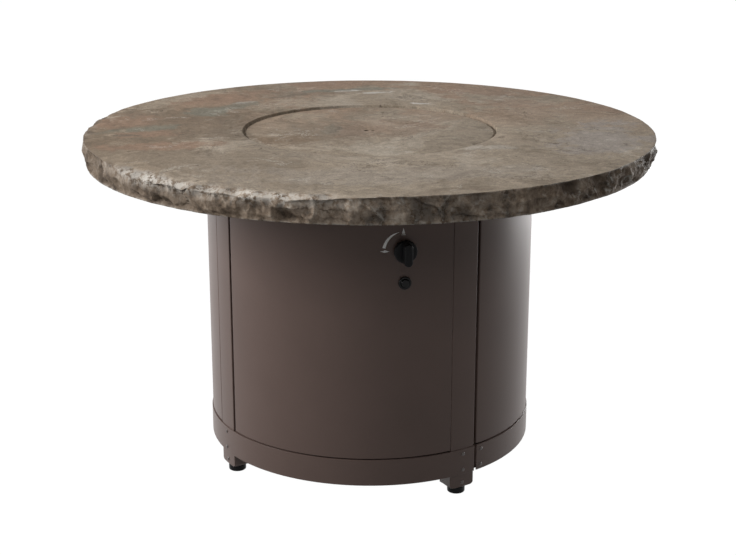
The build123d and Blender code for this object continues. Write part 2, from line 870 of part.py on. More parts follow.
# Door hinges: a lower leaf on the post with a pin, and an upper leaf on the door that lifts off
hinge_azimuth = (door_end + post_starts["back_right"]) / 2
hinge_radius = base_radius + knuckle_lift + knuckle_radius
hinge_place = around(hinge_radius, hinge_azimuth)
leaf_turn = arc_angle(leaf_width, base_radius)
hinge_height = 2 * leaf_height + moving_clearance
hinge_levels = (panel_bottom + hinge_low_margin, panel_top - hinge_high_margin - hinge_height)


def hinge_leaf(level, start, end):
    """Leaf with its knuckle, lying on the wall."""
    with BuildSketch(Plane.XY.offset(level)) as plan:
        sector(base_radius, base_radius + leaf_sheet, start, end)
        with Locations(hinge_place):
            Circle(knuckle_radius)
            Circle(hinge_pin_radius + running_clearance, mode=Mode.SUBTRACT)
    extrude(plan.sketch, amount=leaf_height)


with BuildPart() as hinge_posts:
    for level in hinge_levels:
        hinge_leaf(level, hinge_azimuth, hinge_azimuth + leaf_turn)
save(hinge_posts, "hinge_posts")

with BuildPart() as hinge_doors:
    for level in hinge_levels:
        hinge_leaf(level + leaf_height + moving_clearance, hinge_azimuth - leaf_turn, hinge_azimuth)
save(hinge_doors, "hinge_doors")

with BuildPart() as hinge_pins:
    for level in hinge_levels:
        with BuildSketch(Plane.XY.offset(level - hinge_pin_head_height)):
            with Locations(hinge_place):
                Circle(hinge_pin_head_radius)
        extrude(amount=hinge_pin_head_height)
        with BuildSketch(Plane.XY.offset(level)):
            with Locations(hinge_place):
                Circle(hinge_pin_radius)
        extrude(amount=hinge_height)
save(hinge_pins, "hinge_pins")

with BuildPart() as door_catches:
    catch_face = lip_radius - moving_clearance
    catch_start = post_ends["front_right"]
    for level in (panel_bottom + catch_margin, panel_top - catch_margin - catch_height):
        with BuildSketch(Plane.XY.offset(level)):
            catch_end = catch_start + arc_angle(catch_width, catch_face)
            sector(base_radius - post_depth, catch_face, catch_start, catch_end)
        extrude(amount=catch_height)
save(door_catches, "door_catches")

# Gas control: bracket, valve, sprung stem and knob, on one axis through the front panel
control_plane = wall_plane(control_azimuth, knob_height)
control_axis = Axis(control_plane.origin, control_plane.z_dir)

with BuildPart() as valve_bracket:
    with BuildSketch(control_plane.offset(-bracket_back)):
        RectangleRounded(bracket_width, bracket_height, bracket_corner_radius)
        Circle(valve_nose_radius + seat_clearance, mode=Mode.SUBTRACT)
    extrude(amount=bracket_sheet)
    with BuildSketch(control_plane.offset(-bracket_back)):
        for side in (-1, 1):
            with Locations((side * (bracket_width - bracket_sheet) / 2, 0)):
                Rectangle(bracket_sheet, bracket_height - 2 * bracket_corner_radius)
    extrude(amount=bracket_back)
    with BuildSketch(Plane.XY.offset(knob_height - bracket_height)):
        Circle(base_radius + overrun)
        Circle(inner_radius - seat_clearance, mode=Mode.SUBTRACT)
    extrude(amount=2 * bracket_height, mode=Mode.SUBTRACT)
save(valve_bracket, "valve_bracket")

with BuildPart() as valve_body:
    with BuildSketch(control_plane.offset(-valve_back)):
        RectangleRounded(valve_width, valve_height, valve_corner_radius)
    extrude(amount=valve_depth)
    with BuildSketch(control_plane.offset(-bracket_back)):
        Circle(valve_nose_radius)
    extrude(amount=valve_nose_length)
    with BuildSketch(control_plane.offset(-nose_front)):
        Circle(stem_radius + running_clearance)
    extrude(amount=-(stem_in_valve + push_travel + moving_clearance), mode=Mode.SUBTRACT)
save(valve_body, "valve_body")

with BuildPart() as valve_screws:
    with BuildSketch(control_plane.offset(-bracket_standoff)):
        with GridLocations(valve_screw_spacing, valve_screw_spacing, 2, 1):
            Circle(valve_screw_radius)
    extrude(amount=valve_screw_height)
save(valve_screws, "valve_screws")

inlet_depth = bracket_back + valve_depth / 2
inlet_plane = Plane(
    origin=control_plane.from_local_coords((-valve_width / 2, 0, -inlet_depth)),
    x_dir=(0, 0, 1),
    z_dir=-control_plane.x_dir,
)
with BuildPart() as inlet_fitting:
    with BuildSketch(inlet_plane):
        hexagon(inlet_hex_width)
    extrude(amount=inlet_hex_height)
    with BuildSketch(inlet_plane.offset(inlet_hex_height)):
        Circle(inlet_thread_radius)
    extrude(amount=inlet_thread_length)
    with BuildSketch(inlet_plane.offset(inlet_hex_height + inlet_thread_length)):
        Circle(inlet_thread_radius)
    extrude(amount=inlet_nose_length, taper=inlet_nose_taper)
    with BuildSketch(inlet_plane):
        Circle(inlet_bore_radius)
    extrude(amount=inlet_length, mode=Mode.SUBTRACT)
save(inlet_fitting, "inlet_fitting")

with BuildPart() as stem_washer:
    with BuildSketch(control_plane.offset(-washer_depth)):
        Circle(washer_radius)
        Circle(stem_radius + running_clearance, mode=Mode.SUBTRACT)
    extrude(amount=-washer_sheet)
save(stem_washer, "stem_washer")

with BuildPart() as valve_stem:
    stem_length = nose_front + stem_in_valve + knob_gap + stem_in_knob
    with BuildSketch(control_plane.offset(-nose_front - stem_in_valve)):
        Circle(stem_radius)
    extrude(amount=stem_length)
save(valve_stem, "valve_stem")

with BuildPart() as control_knob:
    with BuildSketch(control_plane.offset(knob_gap)):
        Circle(knob_radius)
    extrude(amount=knob_skirt)
    skirt_rims = control_knob.edges().filter_by(GeomType.CIRCLE)
    chamfer(skirt_rims, knob_skirt_break)
    with BuildSketch(control_plane.offset(knob_gap + knob_skirt)):
        SlotOverall(grip_length, grip_width, rotation=quarter_turn)
    extrude(amount=grip_height)
    grip_top = control_knob.faces().sort_by(control_axis)[-1]
    fillet(grip_top.edges(), grip_round)
    with BuildSketch(control_plane.offset(knob_gap + knob_skirt + grip_height - pointer_depth)):
        with Locations((0, (grip_length - pointer_length) / 2)):
            Rectangle(pointer_width, pointer_length)
    extrude(amount=pointer_depth + overrun, mode=Mode.SUBTRACT)
    with BuildSketch(control_plane.offset(knob_gap)):
        Circle(stem_radius + running_clearance)
    extrude(amount=stem_in_knob, mode=Mode.SUBTRACT)
save(control_knob, "control_knob")

# Igniter: bezel and barrel in one moulding, a nut behind the panel and the button
igniter_plane = wall_plane(control_azimuth, igniter_height)
igniter_axis = Axis(igniter_plane.origin, igniter_plane.z_dir)
button_bore_radius = barrel_radius - barrel_wall
nut_corner = igniter_nut_width / math.sqrt(hexagon_sides / 2)
igniter_nut_depth = base_radius - math.sqrt(inner_radius**2 - nut_corner**2) + seat_clearance
with BuildPart() as igniter_bezel:
    with BuildSketch(igniter_plane):
        Circle(bezel_radius)
    extrude(amount=bezel_height)
    fillet(igniter_bezel.edges().sort_by(igniter_axis)[-1], bezel_round)
    with BuildSketch(igniter_plane.offset(-barrel_length)):
        Circle(barrel_radius)
    extrude(amount=barrel_length)
    with BuildSketch(igniter_plane.offset(bezel_height)):
        Circle(button_bore_radius)
    bore_depth = bezel_height + button_in_barrel + push_travel + moving_clearance
    extrude(amount=-bore_depth, mode=Mode.SUBTRACT)
save(igniter_bezel, "igniter_bezel")

with BuildPart() as igniter_button:
    with BuildSketch(igniter_plane.offset(-button_in_barrel)):
        Circle(button_bore_radius - button_clearance)
    extrude(amount=button_in_barrel + button_stand)
    fillet(igniter_button.edges().sort_by(igniter_axis)[-1], button_round)
save(igniter_button, "igniter_button")

with BuildPart() as igniter_nut:
    with BuildSketch(igniter_plane.offset(-igniter_nut_depth)):
        hexagon(igniter_nut_width)
        Circle(barrel_radius + seat_clearance, mode=Mode.SUBTRACT)
    extrude(amount=-igniter_nut_height)
save(igniter_nut, "igniter_nut")

# Gas way: elbow under the burner, air mixer, bent tube and its two nuts
mixer_end = elbow_branch_reach + mixer_length

with BuildPart() as burner_elbow:
    with BuildSketch(Plane.XY.offset(elbow_bottom)):
        Circle(stub_radius + elbow_wall)
    extrude(amount=elbow_height)
    with BuildSketch(wall_plane(control_azimuth, branch_height, 0)):
        Circle(elbow_branch_radius)
    extrude(amount=elbow_branch_reach)
    with BuildSketch(Plane.XY.offset(stub_end)):
        Circle(stub_radius + running_clearance)
    extrude(amount=elbow_grip, mode=Mode.SUBTRACT)
save(burner_elbow, "burner_elbow")

with BuildPart() as air_mixer:
    with BuildSketch(wall_plane(control_azimuth, branch_height, elbow_branch_reach)):
        Circle(mixer_radius)
    extrude(amount=mixer_length)
    for reach in (elbow_branch_reach, mixer_end - mixer_hex_length):
        with BuildSketch(wall_plane(control_azimuth, branch_height, reach)):
            hexagon(mixer_hex_width)
        extrude(amount=mixer_hex_length)
    with BuildSketch(wall_plane(control_azimuth, branch_height, mixer_end)):
        Circle(tube_radius + running_clearance)
    extrude(amount=-tube_grip, mode=Mode.SUBTRACT)
    with BuildSketch(Plane.XY.offset(branch_height)):
        with Locations(around((elbow_branch_reach + mixer_end) / 2, control_azimuth)):
            Circle(air_hole_radius)
    extrude(amount=mixer_radius + overrun, both=True, mode=Mode.SUBTRACT)
save(air_mixer, "air_mixer")

with BuildPart() as gas_tube:
    tube_start = base_radius - valve_back
    tube_turn_in = tube_start - tube_straight
    tube_turn_out = tube_turn_in - tube_rise_run
    with BuildLine() as tube_route:
        FilletPolyline(
            spot(tube_start, control_azimuth, knob_height),
            spot(tube_turn_in, control_azimuth, knob_height),
            spot(tube_turn_out, control_azimuth, branch_height),
            spot(mixer_end - tube_grip, control_azimuth, branch_height),
            radius=tube_bend_radius,
        )
    with BuildSketch(wall_plane(control_azimuth, knob_height, tube_start)):
        Circle(tube_radius)
        Circle(tube_radius - tube_wall, mode=Mode.SUBTRACT)
    sweep(path=tube_route.line)
save(gas_tube, "gas_tube")

with BuildPart() as tube_nuts:
    for reach, level in ((tube_start - tube_nut_height, knob_height), (mixer_end, branch_height)):
        with BuildSketch(wall_plane(control_azimuth, level, reach)):
            hexagon(tube_nut_width)
            Circle(tube_radius + running_clearance, mode=Mode.SUBTRACT)
        extrude(amount=tube_nut_height)
save(tube_nuts, "tube_nuts")
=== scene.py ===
# %% [markdown]
# # A round gas fire-pit table
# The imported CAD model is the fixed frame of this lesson: every piece below is made in metres, in the same
# frame, and rides on one of its bodies. The steps go from the camera and the light to the finishes, then
# piece by piece from the cast top down to the levelling feet.

# %% Load the frame
import json
import math

import bmesh
import bpy
import numpy as np
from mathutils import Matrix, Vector
from mathutils.bvhtree import BVHTree


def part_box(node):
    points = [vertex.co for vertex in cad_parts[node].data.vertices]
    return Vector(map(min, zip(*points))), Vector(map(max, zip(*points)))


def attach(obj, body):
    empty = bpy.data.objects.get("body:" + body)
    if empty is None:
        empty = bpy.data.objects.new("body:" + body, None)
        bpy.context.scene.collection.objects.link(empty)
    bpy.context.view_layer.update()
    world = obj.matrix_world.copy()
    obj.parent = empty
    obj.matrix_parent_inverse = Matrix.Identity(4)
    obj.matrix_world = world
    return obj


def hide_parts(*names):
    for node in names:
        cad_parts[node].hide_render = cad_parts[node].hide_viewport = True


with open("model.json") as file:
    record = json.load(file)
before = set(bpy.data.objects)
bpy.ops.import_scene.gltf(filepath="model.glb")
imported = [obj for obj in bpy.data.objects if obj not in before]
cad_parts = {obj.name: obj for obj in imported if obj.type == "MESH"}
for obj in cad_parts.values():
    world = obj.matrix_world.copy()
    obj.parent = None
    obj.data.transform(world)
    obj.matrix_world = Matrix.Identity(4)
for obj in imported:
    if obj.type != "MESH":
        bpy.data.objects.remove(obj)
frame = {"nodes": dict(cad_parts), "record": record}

scene = bpy.context.scene
nodes = frame["nodes"]
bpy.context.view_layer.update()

# %% [markdown]
# ## Camera
# The photograph was matched with a pinhole camera: the ellipses of the top and of the drum give the
# distance, the height and the tilt, and the knob gives the side that it looks from. A long lens, about
# 1.4 metres above the ground, sees the face of the top as a flat ellipse.

# %% Camera
camera_turn = math.radians(8.1)
camera_distance = 3.191
camera_height = 1.3654
camera_tilt = math.radians(17.113)
camera_aside = math.radians(0.063)
sensor_width = 36.0
lens_length = 74.3

camera = bpy.data.objects.new("camera", bpy.data.cameras.new("camera"))
camera.data.sensor_width = sensor_width
camera.data.lens = lens_length
camera.location = (
    camera_distance * math.sin(camera_turn),
    -camera_distance * math.cos(camera_turn),
    camera_height,
)
camera.rotation_euler = (math.pi / 2 - camera_tilt, 0, camera_turn + camera_aside)
scene.collection.objects.link(camera)
scene.camera = camera
print("camera at", [round(x, 3) for x in camera.location])

# %% [markdown]
# ## Node helpers
# Every finish and every tree below is a graph of nodes. These functions add a node, feed it and hand back
# its output, so that a finish reads like a recipe and can be built again from the script alone.

# %% Node helpers
def put(tree, kind, feeds=None, **settings):
    """Add a node, set its options, and link or set its inputs."""
    made = tree.nodes.new(kind)
    for key, value in settings.items():
        setattr(made, key, value)
    for key, value in (feeds or {}).items():
        if isinstance(value, bpy.types.NodeSocket):
            tree.links.new(value, made.inputs[key])
        else:
            made.inputs[key].default_value = value
    return made


def maths(tree, operation, a, b=0.0, c=0.0):
    """One step of arithmetic."""
    return put(tree, "ShaderNodeMath", {0: a, 1: b, 2: c}, operation=operation).outputs[0]


def vector_maths(tree, operation, a, b=None):
    """One step of arithmetic with vectors. A length or a dot product comes out as a number."""
    feeds = {0: a}
    if b is not None:
        feeds["Scale" if operation == "SCALE" else 1] = b
    made = put(tree, "ShaderNodeVectorMath", feeds, operation=operation)
    return made.outputs["Value" if operation in ("LENGTH", "DOT_PRODUCT") else "Vector"]


def mixed(tree, share, a, b):
    """Colour between two colours."""
    return put(tree, "ShaderNodeMix", {0: share, 6: a, 7: b}, data_type="RGBA").outputs[2]


def tinted(tree, ground, tone):
    """Colour times a tone."""
    feeds = {0: 1.0, 6: ground, 7: tone}
    return put(tree, "ShaderNodeMix", feeds, data_type="RGBA", blend_type="MULTIPLY").outputs[2]


def ramp(tree, value, *stops):
    """Value or colour that follows stops of (place, colour)."""
    made = put(tree, "ShaderNodeValToRGB", {0: value})
    band = made.color_ramp
    for index, (place, colour) in enumerate(stops):
        if index < 2:
            stop = band.elements[index]
            stop.position = place
        else:
            stop = band.elements.new(place)
        stop.color = (*colour, 1) if isinstance(colour, tuple) else (colour, colour, colour, 1)
    return made.outputs[0]


def noise(tree, where, scale, detail=4.0, roughness=0.55, output=0):
    """Noise at a place, as a value or as a colour."""
    feeds = {"Vector": where, "Scale": scale, "Detail": detail, "Roughness": roughness}
    return put(tree, "ShaderNodeTexNoise", feeds).outputs[output]


def placed(tree, where, turn=0.0, scale=(1, 1, 1), move=(0, 0, 0)):
    """Coordinates that are moved, turned about the upright axis and scaled."""
    feeds = {"Vector": where, "Location": move, "Rotation": (0, 0, turn), "Scale": scale}
    return put(tree, "ShaderNodeMapping", feeds).outputs[0]


def new_finish(name):
    """Material with its tree, its shader and its object coordinates."""
    material = bpy.data.materials.new(name)
    material.use_nodes = True
    tree = material.node_tree
    place = put(tree, "ShaderNodeTexCoord").outputs["Object"]
    return material, tree, tree.nodes["Principled BSDF"], place


def seen_rays(tree):
    """One for rays that show the surroundings: to the camera, in a reflection or through glass."""
    sight = put(tree, "ShaderNodeLightPath").outputs
    seen = maths(tree, "MAXIMUM", sight["Is Camera Ray"], sight["Is Glossy Ray"])
    return maths(tree, "MAXIMUM", seen, sight["Is Transmission Ray"])


print("helpers ready")

# %% [markdown]
# ## Floor and light
# A studio sweep. Floor and surroundings are white wherever the camera, a reflection or glass sees them,
# and dark for all other light, so little of it comes back up under the top. A soft lamp overhead, one on
# the left and a weaker one in front let the overhang shade the upper wall. A weak lamp behind on the left
# and a low strip behind on the right light the edges of the dark drum.

# %% Floor
floor_reach = 40.0
floor_grey = 0.22
floor_glow = 1.14
glow_share = 0.88
floor_mesh = bpy.data.meshes.new("floor")
floor_corners = [(x * floor_reach, y * floor_reach, 0) for x, y in ((-1, -1), (1, -1), (1, 1), (-1, 1))]
floor_mesh.from_pydata(floor_corners, [], [(0, 1, 2, 3)])
floor = bpy.data.objects.new("floor", floor_mesh)
scene.collection.objects.link(floor)

floor_finish, tree, shader, _ = new_finish("floor_white")
shader.inputs["Base Color"].default_value = (floor_grey, floor_grey, floor_grey, 1)
shader.inputs["Roughness"].default_value = 0.9
shader.inputs["Specular IOR Level"].default_value = 0.1
glow = put(tree, "ShaderNodeEmission", {"Color": (1, 1, 1, 1), "Strength": floor_glow})
share = maths(tree, "MULTIPLY", seen_rays(tree), glow_share)
both = put(tree, "ShaderNodeMixShader", {0: share, 1: shader.outputs[0], 2: glow.outputs[0]})
tree.links.new(both.outputs[0], tree.nodes["Material Output"].inputs["Surface"])
floor_mesh.materials.append(floor_finish)
print("floor", floor_reach * 2, "m wide")

# %% World and lamps
dome_strength = 0.06
world = bpy.data.worlds.new("studio")
scene.world = world
world.use_nodes = True
tree = world.node_tree
sky = tree.nodes["Background"]
sky.inputs["Color"].default_value = (1, 1, 1, 1)
strength = maths(tree, "MULTIPLY_ADD", seen_rays(tree), 1 - dome_strength, dome_strength)
tree.links.new(strength, sky.inputs["Strength"])
scene.view_settings.view_transform = "Standard"

# Each lamp: name, place, point that it looks at, size, watts
lamps = (
    ("top_lamp", (-0.2, 0.1, 3.4), (0, 0, 0.6), (2.4, 2.2), 43),
    ("front_lamp", (0.6, -2.6, 2.4), (0, 0, 0.35), (1.6, 1.2), 20),
    ("left_lamp", (-2.5, -0.95, 1.56), (0, 0, 0.4), (1.1, 1.1), 86),
    ("left_panel_light", (-2.4, 1.5, 0.5), (0, 0, 0.4), (1.4, 0.9), 12),
    ("right_panel_light", (1.83, 2.25, 0.30), (0, 0, 0.30), (2.6, 0.55), 75),
)
for name, place, aim, size, watts in lamps:
    light = bpy.data.lights.new(name, "AREA")
    light.shape = "RECTANGLE"
    light.size, light.size_y = size
    light.energy = watts
    made = bpy.data.objects.new(name, light)
    made.location = place
    made.rotation_euler = (Vector(aim) - Vector(place)).to_track_quat("-Z", "Y").to_euler()
    scene.collection.objects.link(made)
print("lamps", [name for name, *_ in lamps])

# %% [markdown]
# ## Cast stone
# The top is cast concrete or resin, coloured like a marbled brown sandstone. Noise that is bent by a
# slower noise gives stepped taupe clouds, darkened towards the left with painted shade that takes back the
# left lamp's stronger light there. Zones of rust, grey-green, slate and off-white are laid over them at set
# places, because noise alone wouldn't put the large forms where a casting has them, and a finer noise tears
# their edges. The broad dark zones on the left are browner stone and painted shade both, and a pale line
# behind the opening is a painted highlight. Hair lines, flecks and grain come last. The broken rim is the
# same stone, painted darker in its hollows and at its ends, which is painted shade, and chalky on its fresh
# chips, which the mesh carries as attributes.

# %% Marks in the stone
mark_height = 0.71
mark_depth = 9.0
mark_tear = 4.4
mark_level = 1.40


def stone_marks(tree, where, ground, wild, marks):
    """Lay zones of other colours over the ground, with edges that a noise makes ragged."""
    for middle, turn, reach, colour, strength in marks:
        feeds = {
            "Vector": where, "Location": (*middle, mark_height),
            "Rotation": (0, 0, math.radians(turn)), "Scale": (*reach, mark_depth),
        }
        inside = put(tree, "ShaderNodeMapping", feeds, vector_type="TEXTURE").outputs[0]
        even = maths(tree, "SUBTRACT", -mark_level, vector_maths(tree, "LENGTH", inside))
        near = maths(tree, "MULTIPLY_ADD", wild, mark_tear, even)
        share = ramp(tree, near, (0.0, 0.0), (0.30, strength))
        ground = mixed(tree, share, ground, (*colour, 1))
    return ground


print("marks reach", mark_depth, "m up and down, so only their place on the face counts")

# %% Honed face of the stone
pattern_turn = math.radians(-8.1)
cloud_bend = 0.26
mark_bend = 0.10
table_share = 0.8
hair_width = 0.009
noise_middle = (0.5, 0.5, 0.5)
warm_cloud = (0.240, 0.172, 0.124, 1)
pale_hair = (0.48, 0.45, 0.40, 1)
dark_hair = (0.092, 0.070, 0.052, 1)
fleck_brown = (0.075, 0.056, 0.042, 1)


def stone_face(tree, place, shift, marks):
    """Colour of the honed face, its flecks and its grain."""
    turned = placed(tree, place, turn=pattern_turn)
    bend = noise(tree, placed(tree, turned, move=shift), 2.6, 6, 0.62, 1)
    bend = vector_maths(tree, "SUBTRACT", bend, noise_middle)
    bent = vector_maths(tree, "ADD", turned, vector_maths(tree, "SCALE", bend, cloud_bend))
    mark_place = vector_maths(tree, "ADD", turned, vector_maths(tree, "SCALE", bend, mark_bend))
    moved = placed(tree, bent, move=shift)
    long_way = placed(tree, moved, scale=(1.3, 1.0, 1.3))
    streaky = placed(tree, moved, scale=(1.0, 1.4, 2.0))

    clouds = noise(tree, long_way, 4.0, 10, 0.62)
    ground = ramp(
        tree, clouds,
        (0.36, (0.172, 0.137, 0.102)), (0.435, (0.218, 0.178, 0.135)), (0.455, (0.246, 0.203, 0.156)),
        (0.525, (0.252, 0.207, 0.158)), (0.550, (0.288, 0.242, 0.190)), (0.66, (0.328, 0.282, 0.228)),
    )
    aside, depth, _ = put(tree, "ShaderNodeSeparateXYZ", {0: bent}).outputs
    behind = maths(tree, "MULTIPLY_ADD", depth, table_share, 0.5)
    behind = ramp(tree, behind, (0.35, 0.0), (0.80, 1.0))
    warm = noise(tree, placed(tree, long_way, move=(5, 2, 0)), 2.8, 9, 0.64)
    warm = ramp(tree, warm, (0.47, 0.0), (0.53, 1.0))
    ground = mixed(tree, maths(tree, "MULTIPLY", behind, warm), ground, warm_cloud)

    wild = noise(tree, placed(tree, streaky, move=(3, 1, 0)), 4.0, 9, 0.68)
    torn = noise(tree, placed(tree, moved, scale=(1.2, 1, 1), move=(6, 2, 0)), 30, 6, 0.70)
    wild = maths(tree, "ADD", maths(tree, "MULTIPLY", wild, 0.5), maths(tree, "MULTIPLY", torn, 0.5))
    ground = stone_marks(tree, mark_place, ground, wild, marks)
    # Painted shade: the stone is darkened towards the left, taking back the left lamp's stronger light on
    # that side of the top.
    leftward = maths(tree, "MULTIPLY_ADD", aside, table_share, 0.5)
    tone = ramp(tree, leftward, (0.02, (0.84, 0.80, 0.76)), (0.52, (1.0, 1.0, 1.0)))
    ground = tinted(tree, ground, tone)
    mottle = noise(tree, placed(tree, moved, move=(2, 7, 0)), 55, 7, 0.72)
    ground = tinted(tree, ground, ramp(tree, mottle, (0.32, 0.74), (0.50, 1.0), (0.68, 1.26)))

    def hairs(move, scale, strength, share):
        """Thin lines where a noise crosses its middle, in some places only."""
        level = noise(tree, placed(tree, streaky, move=move), scale, 9, 0.64)
        level = maths(tree, "ABSOLUTE", maths(tree, "SUBTRACT", level, 0.5))
        return maths(tree, "MULTIPLY", ramp(tree, level, (0.0, strength), (hair_width, 0.0)), share)

    patchy = noise(tree, placed(tree, turned, move=shift), 7.0, 4)
    some = ramp(tree, patchy, (0.52, 0.0), (0.58, 1.0))
    others = ramp(tree, patchy, (0.44, 1.0), (0.50, 0.0))
    ground = mixed(tree, hairs((1, 5, 0), 4.5, 0.5, some), ground, pale_hair)
    ground = mixed(tree, hairs((8, 3, 0), 4.0, 0.85, others), ground, dark_hair)
    flecks = noise(tree, placed(tree, moved, scale=(52, 46, 50), move=(4, 4, 1)), 1.0, 5, 0.66)
    flecks = ramp(tree, flecks, (0.64, 0.0), (0.69, 1.0))
    ground = mixed(tree, maths(tree, "MULTIPLY", flecks, 0.72), ground, fleck_brown)
    grain = noise(tree, place, 330, 4, 0.70)
    ground = tinted(tree, ground, ramp(tree, grain, (0.30, 0.72), (0.70, 1.28)))
    return ground, flecks, grain


print("face pattern turned by", round(math.degrees(pattern_turn), 1), "degrees")

# %% Cast stone finish
stone_gloss = 0.06
stone_bump = 0.0016
# Dark brown for the rim's hollows and ends and for the walls of the lifting holes: painted shade.
painted_shade_brown = (0.070, 0.053, 0.040, 1)
chalk_white = (0.62, 0.59, 0.54, 1)


def stone(name, shift, marks):
    """Marbled cast stone, honed on its face and broken on its rim."""
    material, tree, shader, place = new_finish(name)
    ground, flecks, grain = stone_face(tree, place, shift, marks)
    rim, chip, hollow = (
        put(tree, "ShaderNodeAttribute", attribute_name=label).outputs["Fac"]
        for label in ("rim", "chip", "hollow")
    )
    patches = noise(tree, placed(tree, place, scale=(1, 1, 0.8)), 30, 8, 0.72)
    broken = ramp(
        tree, patches,
        (0.38, (0.062, 0.046, 0.033)), (0.47, (0.170, 0.127, 0.092)),
        (0.56, (0.275, 0.214, 0.160)), (0.64, (0.410, 0.345, 0.280)),
    )
    # Painted shade: the broken stone turns dark brown as far as the hollow attribute says.
    broken = mixed(tree, maths(tree, "MULTIPLY", hollow, 0.40), broken, painted_shade_brown)
    colour = mixed(tree, ramp(tree, rim, (0.06, 0.0), (0.22, 1.0)), ground, broken)
    chalk = ramp(tree, noise(tree, place, 85, 6, 0.74), (0.43, 0.0), (0.53, 1.0))
    colour = mixed(tree, maths(tree, "MULTIPLY", chip, chalk), colour, chalk_white)
    tree.links.new(colour, shader.inputs["Base Color"])

    tree.links.new(ramp(tree, grain, (0.2, 0.58), (0.8, 0.74)), shader.inputs["Roughness"])
    shader.inputs["Specular IOR Level"].default_value = stone_gloss
    rough = maths(tree, "MULTIPLY_ADD", rim, 1.9, 0.22)
    rough = maths(tree, "MULTIPLY", noise(tree, place, 75, 8, 0.72), rough)
    rough = maths(tree, "MULTIPLY_ADD", flecks, -0.4, rough)
    bump = put(tree, "ShaderNodeBump", {"Height": rough, "Distance": stone_bump, "Strength": 0.6})
    tree.links.new(bump.outputs[0], shader.inputs["Normal"])
    return material


print("stone with gloss", stone_gloss, "and a bump of", stone_bump, "m")

# %% Marks of the top and of the cover
grey_green = (0.166, 0.157, 0.126)
rust = (0.230, 0.159, 0.116)
off_white = (0.50, 0.48, 0.45)
slate = (0.252, 0.222, 0.198)
umber = (0.165, 0.122, 0.086)
dark_line = (0.130, 0.110, 0.088)
# Each mark: middle, turn in degrees, reach, colour, strength
top_marks = (
    # The first two marks darken the left and the front left of the face: browner stone, and painted shade
    # that takes back the left lamp's stronger light.
    ((-0.44, 0.02), 25, (0.34, 0.28), (0.152, 0.117, 0.085), 0.80),
    ((-0.27, -0.36), -25, (0.36, 0.18), (0.190, 0.155, 0.118), 0.75),
    ((-0.15, 0.425), 8, (0.17, 0.05), (0.170, 0.135, 0.103), 0.60),
    ((-0.55, 0.06), 20, (0.12, 0.09), rust, 0.8), ((-0.48, -0.05), 10, (0.11, 0.05), rust, 0.8),
    ((-0.43, -0.176), 4, (0.14, 0.05), rust, 0.8), ((-0.35, -0.157), 4, (0.12, 0.04), rust, 0.7),
    ((-0.10, 0.546), 0, (0.14, 0.04), rust, 0.8), ((0.27, 0.463), -15, (0.15, 0.07), rust, 0.7),
    ((0.35, 0.293), -30, (0.10, 0.06), rust, 0.5), ((0.548, 0.232), -50, (0.13, 0.06), rust, 0.8),
    ((-0.34, 0.36), 40, (0.20, 0.09), rust, 0.75), ((-0.485, -0.005), 26, (0.17, 0.035), grey_green, 0.85),
    ((-0.37, 0.183), 30, (0.06, 0.06), grey_green, 0.9),
    ((-0.30, 0.26), 50, (0.11, 0.035), grey_green, 0.8),
    ((-0.19, 0.395), 33, (0.13, 0.022), dark_line, 0.6),
    ((-0.05, 0.462), 10, (0.18, 0.026), grey_green, 0.85),
    ((-0.05, 0.449), 10, (0.05, 0.014), off_white, 0.6), ((-0.01, 0.42), 8, (0.06, 0.016), off_white, 0.6),
    ((-0.283, 0.305), 35, (0.04, 0.012), off_white, 0.25),
    # A short pale line on the face behind the back edge of the opening: a painted highlight.
    ((0.115, 0.287), -10, (0.04, 0.010), off_white, 0.6),
    ((-0.52, -0.068), 3, (0.05, 0.016), dark_line, 0.7), ((0.457, -0.097), 70, (0.22, 0.13), slate, 0.8),
    ((0.242, -0.195), -6, (0.12, 0.025), (0.34, 0.31, 0.27), 0.5),
    ((0.0, -0.42), 3, (0.40, 0.10), (0.30, 0.262, 0.222), 0.4),
)
cover_marks = (
    # The first mark darkens the cover's left: browner stone, and painted shade that takes back the left
    # lamp's stronger light.
    ((-0.13, -0.02), 10, (0.18, 0.18), (0.178, 0.140, 0.104), 0.7),
    ((-0.166, -0.078), 40, (0.11, 0.08), umber, 0.85), ((0.08, 0.085), -35, (0.12, 0.030), umber, 0.6),
    ((0.02, 0.04), 10, (0.20, 0.12), rust, 0.4), ((-0.09, 0.02), 80, (0.08, 0.03), grey_green, 0.5),
)
cast_stone = stone("cast_stone", (0, 0, 0), top_marks)
cover_stone = stone("cast_stone_cover", (2.3, 1.1, 0), cover_marks)
print("stone nodes", len(cast_stone.node_tree.nodes))

# %% [markdown]
# ## Other finishes
# Powder coat has a fine orange peel, so its gloss is broken up by a small bump. Moulded plastic is a
# little uneven, drawn metal is streaked along its length, and rubber is dull. They differ only in tones,
# grain, gloss and bump, so one function with those values makes them all.

# %% Paint, plastic, metal, rubber, ceramic and glass
orange_peel = 0.0002


def coat(
    name, low, high, roughness, metallic=0.0, grain=500.0, stretch=(1, 1, 1), strength=0.15, gloss=0.5
):
    """Finish whose colour, gloss and surface vary a little between two tones."""
    material, tree, shader, place = new_finish(name)
    fine = noise(tree, placed(tree, place, scale=stretch), grain, 3, 0.6)
    slow = noise(tree, place, 7, 3, 0.5)
    blend = maths(tree, "MULTIPLY_ADD", fine, 0.5, maths(tree, "MULTIPLY", slow, 0.5))
    tree.links.new(ramp(tree, blend, (0.35, low), (0.65, high)), shader.inputs["Base Color"])
    uneven = ramp(tree, blend, (0.3, roughness * 0.88), (0.7, roughness * 1.12))
    tree.links.new(uneven, shader.inputs["Roughness"])
    shader.inputs["Metallic"].default_value = metallic
    shader.inputs["Specular IOR Level"].default_value = gloss
    bump = put(tree, "ShaderNodeBump", {"Height": fine, "Distance": orange_peel, "Strength": strength})
    tree.links.new(bump.outputs[0], shader.inputs["Normal"])
    return material


